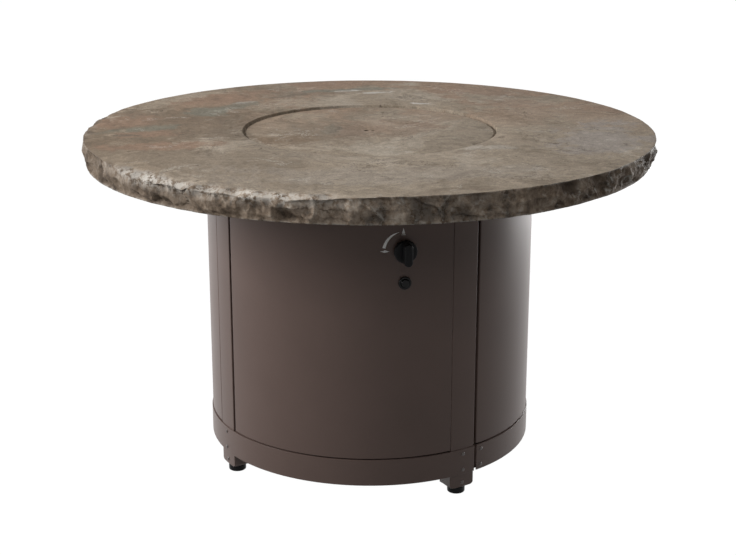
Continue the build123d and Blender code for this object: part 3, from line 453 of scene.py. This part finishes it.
bronze_paint = coat(
    "bronze_paint", (0.095, 0.064, 0.054), (0.110, 0.075, 0.064), 0.36, grain=900.0, gloss=0.19
)
# The bronze paint made darker for the rivet heads: painted shade.
shaded_rivet_paint = coat("shaded_rivet_paint", (0.040, 0.027, 0.022), (0.052, 0.035, 0.029), 0.30, grain=900.0)
black_plastic = coat(
    "black_plastic", (0.005, 0.005, 0.005), (0.008, 0.008, 0.009), 0.36,
    grain=1500.0, strength=0.1, gloss=0.08,
)
gloss_plastic = coat(
    "gloss_black_plastic", (0.004, 0.004, 0.004), (0.007, 0.007, 0.007), 0.12,
    grain=300.0, strength=0.03, gloss=0.12,
)
rubber = coat(
    "black_rubber", (0.010, 0.010, 0.010), (0.020, 0.019, 0.019), 0.70, grain=700.0, strength=0.3, gloss=0.3
)
stainless = coat(
    "stainless_steel", (0.50, 0.49, 0.47), (0.62, 0.61, 0.59), 0.32, 1.0, 60.0, (1, 40, 40), 0.08
)
zinc = coat("zinc_steel", (0.48, 0.49, 0.50), (0.60, 0.61, 0.61), 0.38, 1.0, 220.0)
tube_metal = coat("aluminium_tube", (0.62, 0.62, 0.62), (0.72, 0.72, 0.72), 0.30, 1.0, 120.0, (1, 1, 30))
cast_metal = coat("cast_aluminium", (0.42, 0.42, 0.42), (0.55, 0.55, 0.54), 0.55, 1.0, 420.0, strength=0.4)
brass = coat("brass", (0.58, 0.42, 0.18), (0.70, 0.53, 0.25), 0.28, 1.0, 160.0)
ceramic = coat("white_ceramic", (0.72, 0.71, 0.67), (0.82, 0.81, 0.78), 0.4, grain=260.0)
mark_white = coat("mark_white", (0.93, 0.93, 0.92), (0.99, 0.99, 0.98), 0.5, grain=700.0)
fire_glass_finish = coat(
    "fire_glass", (0.020, 0.019, 0.018), (0.060, 0.056, 0.052), 0.08, grain=40.0, strength=0.05
)
finishes = {
    "cast_stone": cast_stone, "bronze_paint": bronze_paint, "black_plastic": black_plastic,
    "gloss_black_plastic": gloss_plastic, "black_rubber": rubber, "stainless_steel": stainless,
    "zinc_steel": zinc, "aluminium_tube": tube_metal, "cast_aluminium": cast_metal, "brass": brass,
    "white_ceramic": ceramic, "fire_glass": fire_glass_finish,
}
slot_of = {piece["node"]: piece["material_slot"] for piece in frame["record"]["subparts"]}
for name, node in nodes.items():
    node.data.materials.clear()
    node.data.materials.append(finishes[slot_of[name]])
print("finishes", sorted(finishes))

# %% [markdown]
# ## Edges
# Sheet metal and mouldings have no knife edges. A CAD node is a set of loose triangles, so a copy is
# merged, its flat faces are joined, its sharp edges get a narrow bevel, and the rest is shaded smooth.
# The copy stands for the node.

# %% Softened copies of CAD nodes
merge_distance = 1e-6
flat_angle = math.radians(0.2)
sharp_angle = math.radians(35)
sheet_facing = 0.98
bodies = frame["record"]["behaviour"]["bodies"]
body_of = {node: body for body, members in bodies.items() for node in members}


def keep(mesh_object, body, slot, *stands_for):
    """Ride a finished piece on its body, and let it stand for CAD nodes."""
    if mesh_object.name not in scene.collection.objects:
        scene.collection.objects.link(mesh_object)
    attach(mesh_object, body)
    if stands_for:
        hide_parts(*stands_for)


def merged_copy(name, label):
    """Copy of a CAD node with its triangles joined at their corners and its flat faces made whole."""
    mesh = nodes[name].data.copy()
    work = bmesh.new()
    work.from_mesh(mesh)
    bmesh.ops.remove_doubles(work, verts=work.verts, dist=merge_distance)
    bmesh.ops.dissolve_limit(work, angle_limit=flat_angle, verts=work.verts, edges=work.edges)
    for face in work.faces:
        face.smooth = True
    work.to_mesh(mesh)
    work.free()
    made = bpy.data.objects.new(label, mesh)
    scene.collection.objects.link(made)
    return made


def plain_mesh(made):
    """Replace an object's mesh by what its modifiers make of it, and drop the modifiers."""
    done = bpy.data.meshes.new_from_object(made.evaluated_get(bpy.context.evaluated_depsgraph_get()))
    made.modifiers.clear()
    made.data = done
    return done


def values_of(items, key, width, kind=np.float32):
    """Array of one property of all points, corners or faces."""
    found = np.zeros(len(items) * width, kind)
    items.foreach_get(key, found)
    return found.reshape(-1, width) if width > 1 else found


def shade_round(mesh):
    """Shade the drum's sheets as true cylinders, so that their upright facets don't show."""
    facing = values_of(mesh.corner_normals, "vector", 3)
    outward = values_of(mesh.vertices, "co", 3)[values_of(mesh.loops, "vertex_index", 1, np.int32)]
    outward[:, 2] = 0
    outward /= np.linalg.norm(outward, axis=1)[:, None]
    corner_counts = values_of(mesh.polygons, "loop_total", 1, np.int32)
    flat = np.repeat(values_of(mesh.polygon_normals, "vector", 3), corner_counts, axis=0)
    along = (flat * outward).sum(1)
    sheet = np.abs(along) > sheet_facing
    facing[sheet] = outward[sheet] * np.sign(along[sheet])[:, None]
    mesh.normals_split_custom_set(facing.tolist())


def softened(name, width, segments=2, finish=None, drum=False):
    """Copy of a CAD node with bevelled edges."""
    made = merged_copy(name, f"{name}_soft")
    bevel = made.modifiers.new("edge", "BEVEL")
    bevel.width = width
    bevel.segments = segments
    bevel.limit_method = "ANGLE"
    bevel.angle_limit = sharp_angle
    bevel.harden_normals = True
    done = plain_mesh(made)
    if drum:
        shade_round(done)
    done.materials.clear()
    done.materials.append(finish or finishes[slot_of[name]])
    keep(made, body_of[name], slot_of[name], name)


drum_sheets = [
    "front_panel", "left_panel", "back_panel", "door_panel", "top_ring", "bottom_band", "door_band",
]
drum_sheets += [name for name in nodes if name.startswith("post_")]
rivet_sets = ["band_rivets", "foot_rivets", "ring_rivets", "door_rivets"]
own_mesh = ["table_top", "fire_glass", *rivet_sets]
plain_edge = 0.0004
fine_edge = 0.0001
edge_widths = {
    "control_knob": 0.0010, "igniter_bezel": 0.0014, "igniter_button": 0.0010, "burner_cover": 0.0012,
}
fine_pieces = [
    "electrode_rod", "electrode_insulator", "flame_sensor", "cover_bumpers", "top_pads", "stem_washer",
]
for name in nodes:
    if name in own_mesh:
        continue
    width = edge_widths.get(name, fine_edge if name in fine_pieces else plain_edge)
    finish = cover_stone if name == "burner_cover" else None
    softened(name, width, 3 if name in edge_widths else 2, finish, name in drum_sheets)

# %% [markdown]
# ## Lifting holes
# Two small holes in the middle of the cover serve to lift it. Their walls are painted almost black: painted
# shade for the deep shade in the holes. A finish of their own would need a cut in the mesh, so the cover's
# mesh marks the points of the walls instead, and the stone finish reads the mark as a hollow.

# %% Painted shade on the walls of the lifting holes
cover_mesh = bpy.data.objects["burner_cover_soft"].data
cover_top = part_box("burner_cover")[1].z
hole_reach, hole_lip = 0.020, 0.0001
corners = values_of(cover_mesh.vertices, "co", 3)
inside_hole = (np.hypot(corners[:, 0], corners[:, 1]) < hole_reach) & (corners[:, 2] < cover_top - hole_lip)
# Painted shade: full rim and hollow shares turn the walls into dark brown stone.
for label, depth in (("rim", 1.0), ("hollow", 2.5)):
    marks = (inside_hole * depth).astype(np.float32)
    cover_mesh.attributes.new(label, "FLOAT", "POINT").data.foreach_set("value", marks)
print("hole walls", int(inside_hole.sum()), "points")

# %% [markdown]
# ## The cast top
# The rim of the real top is broken with a chisel, or cast from a mould of one that was: shallow scoops
# that meet in ridges, small bites out of the upper edge, and fresh chips that stay pale. The CAD solid
# has the large flakes. Its own triangles are too coarse to break further, so the solid is measured all
# round with rays, and a fine mesh of rings is laid over it.

# %% Rays onto the CAD rim
top_low, top_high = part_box("table_top")
face_height = top_high.z
rim_bottom = top_low.z
around_count = 1680
ray_start = 0.7
top_mesh_cad = nodes["table_top"].data
top_tree = BVHTree.FromPolygons(
    [v.co for v in top_mesh_cad.vertices], [p.vertices[:] for p in top_mesh_cad.polygons]
)
turns = np.arange(around_count) / around_count * 2 * math.pi
heads = np.stack([np.sin(turns), -np.cos(turns)], 1)


def rim_radius(heights):
    """Radius of the CAD rim all round, at a height for each direction."""
    found = np.zeros(around_count)
    for index, (x, y) in enumerate(heads):
        start = Vector((x * ray_start, y * ray_start, heights[index]))
        hit = top_tree.ray_cast(start, Vector((-x, -y, 0)))[0]
        found[index] = math.hypot(hit.x, hit.y)
    return found


def stretch(middle, reach):
    """Share of a stretch of the rim, all round: one in its middle and none outside."""
    off = (np.degrees(turns) - middle + 180) % 360 - 180
    return np.exp(-((off / reach) ** 4))


# Each stretch: its middle and its reach, in degrees from the front to the right
chalky_side = stretch(-22, 25)
flaky_side = stretch(70, 28)
front_side = stretch(16, 20)
left_side = stretch(-58, 38)
left_lobe = stretch(-73, 5)
left_end = stretch(-84, 14)
right_end = stretch(92, 26)
dark_spells = stretch(16.6, 2.6) + stretch(26, 3.4) + 0.7 * stretch(45, 4)
ragged = 0.70 + 0.30 * np.sin(19 * turns + 0.7) * np.sin(31 * turns + 2.1)
print("rays from", around_count, "directions, rim from", round(rim_bottom, 4), "to", round(face_height, 4))

# %% Rings over the rim and the face
rim_rows = 30
clean_edge = 0.005
rim_margin = 0.0002
sag_depth = 0.012
undercut_depth = 0.012
undercut_start = 0.4
bite_middle = 0.024
bite_swing = 0.012
face_insets = (0.0012, 0.003, 0.005, 0.008, 0.012, 0.017, 0.025, 0.034, 0.05, 0.08, 0.12, 0.18, 0.24)
opening_radius = 0.2705
edge_round = 0.0016


def level_ring(radius, height):
    """Ring that is the same all round and that the chisel leaves alone."""
    none = np.zeros(around_count)
    return np.full(around_count, radius), np.full(around_count, height), none, none


bitten = np.clip(chalky_side + 0.15 * flaky_side + 0.5 * left_end, 0, 1) * ragged
sag = sag_depth * chalky_side * ragged
rings = []
rim_top = face_height - rim_margin - sag
for step in np.linspace(0, 1, rim_rows):
    height = rim_top + step * (rim_bottom + rim_margin - rim_top)
    upper = np.clip((rim_top - height) / clean_edge, 0, 1)
    lower = np.clip((height - rim_bottom) / clean_edge, 0, 1)
    cut = np.maximum(upper, bitten) * lower * (1 - 0.9 * left_lobe)
    undercut = undercut_depth * flaky_side * max(0.0, step - undercut_start)
    rings.append((rim_radius(height) - undercut, height, np.ones(around_count), cut))
edge = rings[0][0]
face_rings = []
bite_reach = bite_middle + bite_swing * np.sin(23 * turns + 1.0) * np.sin(41 * turns + 0.4)
for inset in face_insets:
    share = np.maximum(0, 1 - inset / bite_reach)
    height = face_height - sag * share ** 1.5
    face_rings.append((edge - inset, height, share * bitten, share * bitten))
for turn in (0.0, 0.5, 1.0):
    angle = turn * math.pi / 2
    radius = opening_radius + edge_round * (1 - math.sin(angle))
    height = face_height - edge_round * (1 - math.cos(angle))
    face_rings.append(level_ring(radius, height))
print("rim radius", round(edge.min(), 4), "to", round(edge.max(), 4))

# %% Close the mesh under the deck
ledge_inner = 0.245
ledge_outer = 0.2905
deck_inner = 0.2945
deck_outer = 0.5365
rim_inner = 0.5435
rim_foot = 0.575
deck_thickness = 0.024
ledge_drop = 0.0262
ledge_under_drop = 0.0482
deck_under = face_height - deck_thickness
ledge_top = face_height - ledge_drop
ledge_under = face_height - ledge_under_drop
under_profile = (
    (opening_radius, ledge_top), (ledge_inner, ledge_top),
    (ledge_inner, ledge_under), (ledge_outer, ledge_under),
    (deck_inner, deck_under), (deck_outer, deck_under),
    (rim_inner, rim_bottom), (rim_foot, rim_bottom),
)
under_rings = [level_ring(radius, height) for radius, height in under_profile]
loop = face_rings[::-1] + rings + under_rings[::-1]
points = np.concatenate([np.stack([heads[:, 0] * r, heads[:, 1] * r, z], 1) for r, z, _, _ in loop])
rim_share = np.concatenate([share for _, _, share, _ in loop])
cut_share = np.concatenate([cut for _, _, _, cut in loop])
count = len(loop)
first = np.arange(around_count)
second = (first + 1) % around_count
quads = []
for row in range(count):
    a, b = row * around_count, (row + 1) % count * around_count
    quads.append(np.stack([first + a, first + b, second + b, second + a], 1))
quads = np.concatenate(quads)
top_mesh = bpy.data.meshes.new("table_top_stone")
top_mesh.from_pydata(points.tolist(), [], quads.tolist())
work = bmesh.new()
work.from_mesh(top_mesh)
bmesh.ops.recalc_face_normals(work, faces=work.faces)
for part in work.faces:
    part.smooth = True
work.to_mesh(top_mesh)
work.free()
for label, share in (("rim", rim_share), ("cut", cut_share)):
    top_mesh.attributes.new(label, "FLOAT", "POINT").data.foreach_set("value", share.astype(np.float32))
table_top = bpy.data.objects.new("table_top_stone", top_mesh)
scene.collection.objects.link(table_top)
print("top mesh", len(top_mesh.vertices), "points")

# %% [markdown]
# ## Chisel
# A chisel takes shallow bowls out of an edge, and the bowls meet in ridges. A Geometry Nodes tree does
# the same to the fine mesh: two sizes of Voronoi cells give the scoops, because the square of the
# distance to a cell's middle is a bowl. Sculpting would do as well, but a tree can be tuned by its sizes.
# This one only ever takes stone away.

# %% Tree helpers
def new_tree(name, sizes):
    """Geometry Nodes tree with a named input for each of its sizes."""
    tree = bpy.data.node_groups.new(name, "GeometryNodeTree")
    tree.interface.new_socket("Geometry", in_out="INPUT", socket_type="NodeSocketGeometry")
    for label, value in sizes.items():
        kind = "NodeSocketVector" if isinstance(value, tuple) else "NodeSocketFloat"
        tree.interface.new_socket(label, in_out="INPUT", socket_type=kind).default_value = value
    tree.interface.new_socket("Geometry", in_out="OUTPUT", socket_type="NodeSocketGeometry")
    return tree, tree.nodes.new("NodeGroupInput").outputs, tree.nodes.new("NodeGroupOutput").inputs


def carried(tree, name, kind="FLOAT"):
    """Value that the points carry under a name."""
    return put(tree, "GeometryNodeInputNamedAttribute", {"Name": name}, data_type=kind).outputs[0]


def end_tree(tree, geometry, material, result):
    """End a tree in Realize Instances and Set Material, because an export drops instances."""
    real = put(tree, "GeometryNodeRealizeInstances", {"Geometry": geometry})
    painted = put(tree, "GeometryNodeSetMaterial", {"Geometry": real.outputs[0], "Material": material})
    tree.links.new(painted.outputs[0], result[0])


def run_tree(made, tree, sizes):
    """Put a tree on an object, set its sizes by their identifiers, and turn the result into a plain mesh."""
    modifier = made.modifiers.new(tree.name, "NODES")
    modifier.node_group = tree
    for item in tree.interface.items_tree:
        if item.in_out == "INPUT" and item.name in sizes:
            modifier[item.identifier] = sizes[item.name]
    plain_mesh(made)


print("tree helpers ready")

# %% Chisel tree
wobble_reach = 0.012
ridge_gain = 9.0
spot_level = 0.47
spot_gain = 14.0
hollow_gain = 100.0
chisel_sizes = {
    "scoop_cells": 20.0, "scoop_depth": 0.0120, "scoop_bowl": 0.021, "scoop_tilt": 0.28,
    "flake_cells": 50.0, "flake_depth": 0.0042, "flake_bowl": 0.0075, "flake_tilt": 0.25,
    "grit_depth": 0.0011, "lean": 0.8,
}
chisel, given, result = new_tree("chisel", chisel_sizes)
here = put(chisel, "GeometryNodeInputPosition").outputs[0]
wobble = vector_maths(chisel, "SUBTRACT", noise(chisel, here, 30, 3, 0.6, 1), noise_middle)
bent = vector_maths(chisel, "ADD", here, vector_maths(chisel, "SCALE", wobble, wobble_reach))
rise = put(chisel, "ShaderNodeSeparateXYZ", {0: here}).outputs[2]
swing = {"Vector": bent, "Angle": maths(chisel, "MULTIPLY", rise, given["lean"])}
bent = put(chisel, "ShaderNodeVectorRotate", swing, rotation_type="Z_AXIS").outputs[0]


def scoops(cells, depth, bowl, tilt):
    """Depth of the scoops of one size, and the distance to the nearest ridge between them."""
    grid = {"Vector": bent, "Scale": cells}
    cell = put(chisel, "ShaderNodeTexVoronoi", grid, feature="F1").outputs
    border = put(chisel, "ShaderNodeTexVoronoi", grid, feature="DISTANCE_TO_EDGE").outputs["Distance"]
    luck = put(chisel, "ShaderNodeSeparateXYZ", {0: cell["Color"]}).outputs[0]
    lean = vector_maths(chisel, "SUBTRACT", cell["Color"], noise_middle)
    reach = vector_maths(chisel, "SUBTRACT", bent, cell["Position"])
    slope = vector_maths(chisel, "DOT_PRODUCT", lean, reach)
    deep = maths(chisel, "MULTIPLY", depth, maths(chisel, "MULTIPLY_ADD", luck, 0.45, 0.55))
    square = maths(chisel, "MULTIPLY", cell["Distance"], cell["Distance"])
    deep = maths(chisel, "SUBTRACT", deep, maths(chisel, "MULTIPLY", square, bowl))
    deep = maths(chisel, "MULTIPLY_ADD", slope, tilt, deep)
    return maths(chisel, "MAXIMUM", deep, 0.0), border


large, border = scoops(given["scoop_cells"], given["scoop_depth"], given["scoop_bowl"], given["scoop_tilt"])
small, _ = scoops(given["flake_cells"], given["flake_depth"], given["flake_bowl"], given["flake_tilt"])
grit = maths(chisel, "MULTIPLY", noise(chisel, here, 130, 5, 0.7), given["grit_depth"])
taken = maths(chisel, "ADD", maths(chisel, "ADD", large, small), grit)
share = carried(chisel, "cut")
taken = maths(chisel, "MULTIPLY", taken, share)
normal = put(chisel, "GeometryNodeInputNormal").outputs[0]
push = vector_maths(chisel, "SCALE", normal, maths(chisel, "MULTIPLY", taken, -1.0))
geometry = put(chisel, "GeometryNodeSetPosition", {"Geometry": given[0], "Offset": push}).outputs[0]
print("chisel tree so far", len(chisel.nodes), "nodes")

# %% Ridges and hollows, kept as attributes
ridge = maths(chisel, "SUBTRACT", 1.0, maths(chisel, "MULTIPLY", border, ridge_gain))
spotty = maths(chisel, "SUBTRACT", noise(chisel, here, 36, 3), spot_level)
ridge = maths(chisel, "MINIMUM", ridge, maths(chisel, "MULTIPLY", spotty, spot_gain))
ridge = put(chisel, "ShaderNodeClamp", {0: ridge}).outputs[0]
deepness = put(chisel, "ShaderNodeClamp", {0: maths(chisel, "MULTIPLY", large, hollow_gain)}).outputs[0]
hollow = maths(chisel, "MULTIPLY", deepness, share)
for label, value in (("ridge", ridge), ("hollow", hollow)):
    feeds = {"Geometry": geometry, "Name": label, "Value": value}
    stored = put(chisel, "GeometryNodeStoreNamedAttribute", feeds, data_type="FLOAT", domain="POINT")
    geometry = stored.outputs[0]
end_tree(chisel, geometry, cast_stone, result)
run_tree(table_top, chisel, chisel_sizes)
print("chiselled top", len(table_top.data.polygons), "faces")

# %% [markdown]
# ## Chips and shade on the rim
# Where the stone broke last it is pale: along the upper edge on the left of the front, and on the ridges
# further right. The rim is painted darker in its deep hollows, on its right side, which lies in shade, and
# at its two ends, where the side lamps fall strongly: all painted shade. Three short stretches are painted
# darker too. Both are worked out for each point from its height, its ridge and its place round the rim,
# and the stone finish reads them, so that the marks follow the breaks of the mesh.

# %% Fresh chips and painted shade in the hollows
shoulder = 0.006
shoulder_fade = 0.014
crest_fade = 0.003
foot_fade = 0.0022
chip_mesh = table_top.data
spots = values_of(chip_mesh.vertices, "co", 3)
ridge = values_of(chip_mesh.attributes["ridge"].data, "value", 1)
on_rim = values_of(chip_mesh.attributes["rim"].data, "value", 1)
bearing = np.arctan2(spots[:, 0], -spots[:, 1]) % (2 * math.pi)
chalky = np.interp(bearing, turns, chalky_side * ragged)
flaky = np.interp(bearing, turns, flaky_side)
in_front = np.interp(bearing, turns, front_side)
in_dark = np.interp(bearing, turns, dark_spells)
at_ends = np.interp(bearing, turns, 1.1 * right_end + 0.9 * left_side)
fall = face_height - spots[:, 2]
upper = np.exp(-((np.maximum(0, fall - shoulder) / shoulder_fade) ** 2)) * np.minimum(1, on_rim * 3)
crest = np.exp(-((fall / crest_fade) ** 2)) * on_rim
lower = np.exp(-(((spots[:, 2] - rim_bottom) / foot_fade) ** 2)) * (on_rim > 0.5)
chips = (
    0.8 * upper * chalky
    + crest * (0.08 + 0.5 * flaky)
    + ridge ** 3 * on_rim * (0.9 * flaky + 0.35 * in_front)
    + lower * 0.35
    + on_rim * in_front * 0.10
)
sunken = chip_mesh.attributes["hollow"].data
depths = values_of(sunken, "value", 1)
# Painted shade: darker in the hollows, on the right side and at both ends, and in three set stretches.
shaded = (
    depths * (0.7 + 0.5 * flaky - 0.5 * in_front + 1.5 * in_dark)
    + 0.35 * flaky + 1.4 * at_ends + 0.5 * in_dark
)
sunken.foreach_set("value", shaded.astype(np.float32))
chips = np.clip(chips, 0, 1).astype(np.float32)
chip_mesh.attributes.new("chip", "FLOAT", "POINT").data.foreach_set("value", chips)
keep(table_top, "base", "cast_stone", "table_top")
print("chips cover", round(float((chips > 0.4).mean()), 3), "of the top's points")

# %% [markdown]
# ## Rivets
# The bands are held to the posts and to the door's tabs by low round-headed rivets, set and painted with
# the sheet. Their paint is a darker copy of the sheet's: painted shade that makes the heads show as dark
# dots. Their places are read from the CAD solids; one tree sets a flattened ball on each, turned to point
# out of the wall.

# %% Rivets
rivet_sizes = {"head_radius": 0.0042, "head_height": 0.0020}
rivets, given, result = new_tree("rivets", rivet_sizes)
ball = put(rivets, "GeometryNodeMeshUVSphere", {"Segments": 20, "Rings": 12, "Radius": 1.0})
smooth = put(rivets, "GeometryNodeSetShadeSmooth", {"Geometry": ball.outputs[0]})
outward = carried(rivets, "outward", "FLOAT_VECTOR")
aim = put(rivets, "FunctionNodeAlignRotationToVector", {"Vector": outward}, axis="Z").outputs[0]
wide, high = given["head_radius"], given["head_height"]
size = put(rivets, "ShaderNodeCombineXYZ", {0: wide, 1: wide, 2: high}).outputs[0]
heads_in = {"Points": given[0], "Instance": smooth.outputs[0], "Rotation": aim, "Scale": size}
heads_made = put(rivets, "GeometryNodeInstanceOnPoints", heads_in)
end_tree(rivets, heads_made.outputs[0], shaded_rivet_paint, result)


def rivet_spots(name):
    """Foot of each rivet of a CAD node on the wall, and the way out of the wall."""
    work = bmesh.new()
    work.from_mesh(nodes[name].data)
    bmesh.ops.remove_doubles(work, verts=work.verts, dist=merge_distance)
    work.verts.ensure_lookup_table()
    seen = set()
    found = []
    for start in work.verts:
        if start.index in seen:
            continue
        seen.add(start.index)
        queue, group = [start], []
        while queue:
            corner = queue.pop()
            group.append(corner.co.copy())
            for other in (link.other_vert(corner) for link in corner.link_edges):
                if other.index not in seen:
                    seen.add(other.index)
                    queue.append(other)
        middle = sum(group, Vector()) / len(group)
        out = Vector((middle.x, middle.y, 0)).normalized()
        foot = min(point.dot(out) for point in group)
        found.append((Vector((out.x * foot, out.y * foot, middle.z)), out))
    work.free()
    return found


for name in rivet_sets:
    found = rivet_spots(name)
    mesh = bpy.data.meshes.new(f"{name}_heads")
    mesh.from_pydata([foot for foot, _ in found], [], [])
    pointing = np.array([out for _, out in found], np.float32).ravel()
    mesh.attributes.new("outward", "FLOAT_VECTOR", "POINT").data.foreach_set("vector", pointing)
    made = bpy.data.objects.new(f"{name}_heads", mesh)
    scene.collection.objects.link(made)
    run_tree(made, rivets, rivet_sizes)
    keep(made, body_of[name], "bronze_paint", name)
    print(name, len(found), "heads")

# %% [markdown]
# ## Fire glass
# The burner lies in a bed of broken tempered glass, dark and shiny, with pieces of about a centimetre.
# The CAD bed fills the pan round the burner, so gems that are set on its upper face lie round the burner
# too. Placing them by hand would take long: a tree scatters them with their middles at least a gap
# apart, each with its own turn and size.

# %% Fire glass gems
facing_limit = 0.9
gem_density = 60000.0
gem_sizes = {
    "gem_gap": 0.0062, "gem_sink": (0.0, 0.0, -0.0025),
    "gem_small": (0.0034, 0.0034, 0.0028), "gem_large": (0.0062, 0.0062, 0.0050),
}
gems, given, result = new_tree("glass_gems", gem_sizes)
facing = put(gems, "GeometryNodeInputNormal").outputs[0]
facing_up = put(gems, "ShaderNodeSeparateXYZ", {0: facing}).outputs[2]
feeds = {0: facing_up, 1: facing_limit}
upper_face = put(gems, "FunctionNodeCompare", feeds, operation="GREATER_THAN").outputs[0]
feeds = {
    "Mesh": given[0], "Selection": upper_face, "Distance Min": given["gem_gap"],
    "Density Max": gem_density, "Seed": 4,
}
scatter = put(gems, "GeometryNodeDistributePointsOnFaces", feeds, distribute_method="POISSON")
sunk = put(gems, "GeometryNodeSetPosition", {"Geometry": scatter.outputs[0], "Offset": given["gem_sink"]})
gem = put(gems, "GeometryNodeMeshIcoSphere", {"Radius": 1.0, "Subdivisions": 1})
full_turns = (2 * math.pi, 2 * math.pi, 2 * math.pi)
spin = put(gems, "FunctionNodeRandomValue", {1: full_turns, "Seed": 1}, data_type="FLOAT_VECTOR").outputs[0]
sizes = {0: given["gem_small"], 1: given["gem_large"], "Seed": 2}
size = put(gems, "FunctionNodeRandomValue", sizes, data_type="FLOAT_VECTOR").outputs[0]
gems_in = {"Points": sunk.outputs[0], "Instance": gem.outputs[0], "Rotation": spin, "Scale": size}
gems_made = put(gems, "GeometryNodeInstanceOnPoints", gems_in)
joined = put(gems, "GeometryNodeJoinGeometry", {0: gems_made.outputs[0]})
gems.links.new(given[0], joined.inputs[0])
end_tree(gems, joined.outputs[0], fire_glass_finish, result)
glass_bed = merged_copy("fire_glass", "fire_glass_gems")
glass_bed.data.shade_flat()
run_tree(glass_bed, gems, gem_sizes)
keep(glass_bed, "base", "fire_glass", "fire_glass")
print("fire glass", len(glass_bed.data.polygons), "faces")

# %% [markdown]
# ## Dial marks
# White signs are printed on the panel round the knob: a wedge bent round it, thin near the top and wide at
# the left, an arrow above the knob and a diamond at its left. A picture on the wall would blur close up,
# so they are thin sheets that lie on the curve of the wall.

# %% Dial marks
knob_low, knob_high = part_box("control_knob")
knob_middle = (knob_low + knob_high) / 2
control_turn = math.atan2(knob_middle.x, -knob_middle.y)
wall_radius = -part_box("front_panel")[0].y
print_lift = 0.00015


def on_wall(across, up):
    """Place on the wall at a distance across and up from the knob's axis."""
    turn = control_turn + across / wall_radius
    radius = wall_radius + print_lift
    return (radius * math.sin(turn), -radius * math.cos(turn), knob_middle.z + up)


def clock_place(radius, turn):
    """Place at a radius from the knob's axis, at an angle to the left of upright."""
    return on_wall(-radius * math.sin(turn), radius * math.cos(turn))


wedge_radius, wedge_steps = 0.0388, 24
wedge_start, wedge_end = math.radians(80), math.radians(13)
wedge_wide, wedge_thin = 0.0060, 0.0008
wedge_taper = 1.6
mark_points, mark_faces = [], []
for step in range(wedge_steps + 1):
    share = step / wedge_steps
    turn = wedge_start + (wedge_end - wedge_start) * share
    half = (wedge_wide + (wedge_thin - wedge_wide) * share ** wedge_taper) / 2
    mark_points += [clock_place(wedge_radius - half, turn), clock_place(wedge_radius + half, turn)]
    if step:
        last = len(mark_points) - 4
        mark_faces.append((last, last + 1, last + 3, last + 2))
arrow = [(-0.0032, 0.0350), (0.0032, 0.0350), (0.0, 0.0460)]
arrow_bar = [(-0.0042, 0.0322), (0.0042, 0.0322), (0.0042, 0.0334), (-0.0042, 0.0334)]
diamond = [(-0.0455, 0.0), (-0.0365, -0.0024), (-0.0280, 0.0), (-0.0365, 0.0024)]
for corners in (arrow, arrow_bar, diamond):
    mark_faces.append(tuple(range(len(mark_points), len(mark_points) + len(corners))))
    mark_points += [on_wall(*corner) for corner in corners]
mark_mesh = bpy.data.meshes.new("dial_marks")
mark_mesh.from_pydata(mark_points, [], mark_faces)
mark_mesh.materials.append(mark_white)
keep(bpy.data.objects.new("dial_marks", mark_mesh), "base", None)
print("dial marks", len(mark_faces), "faces on a wall of radius", round(wall_radius, 4))
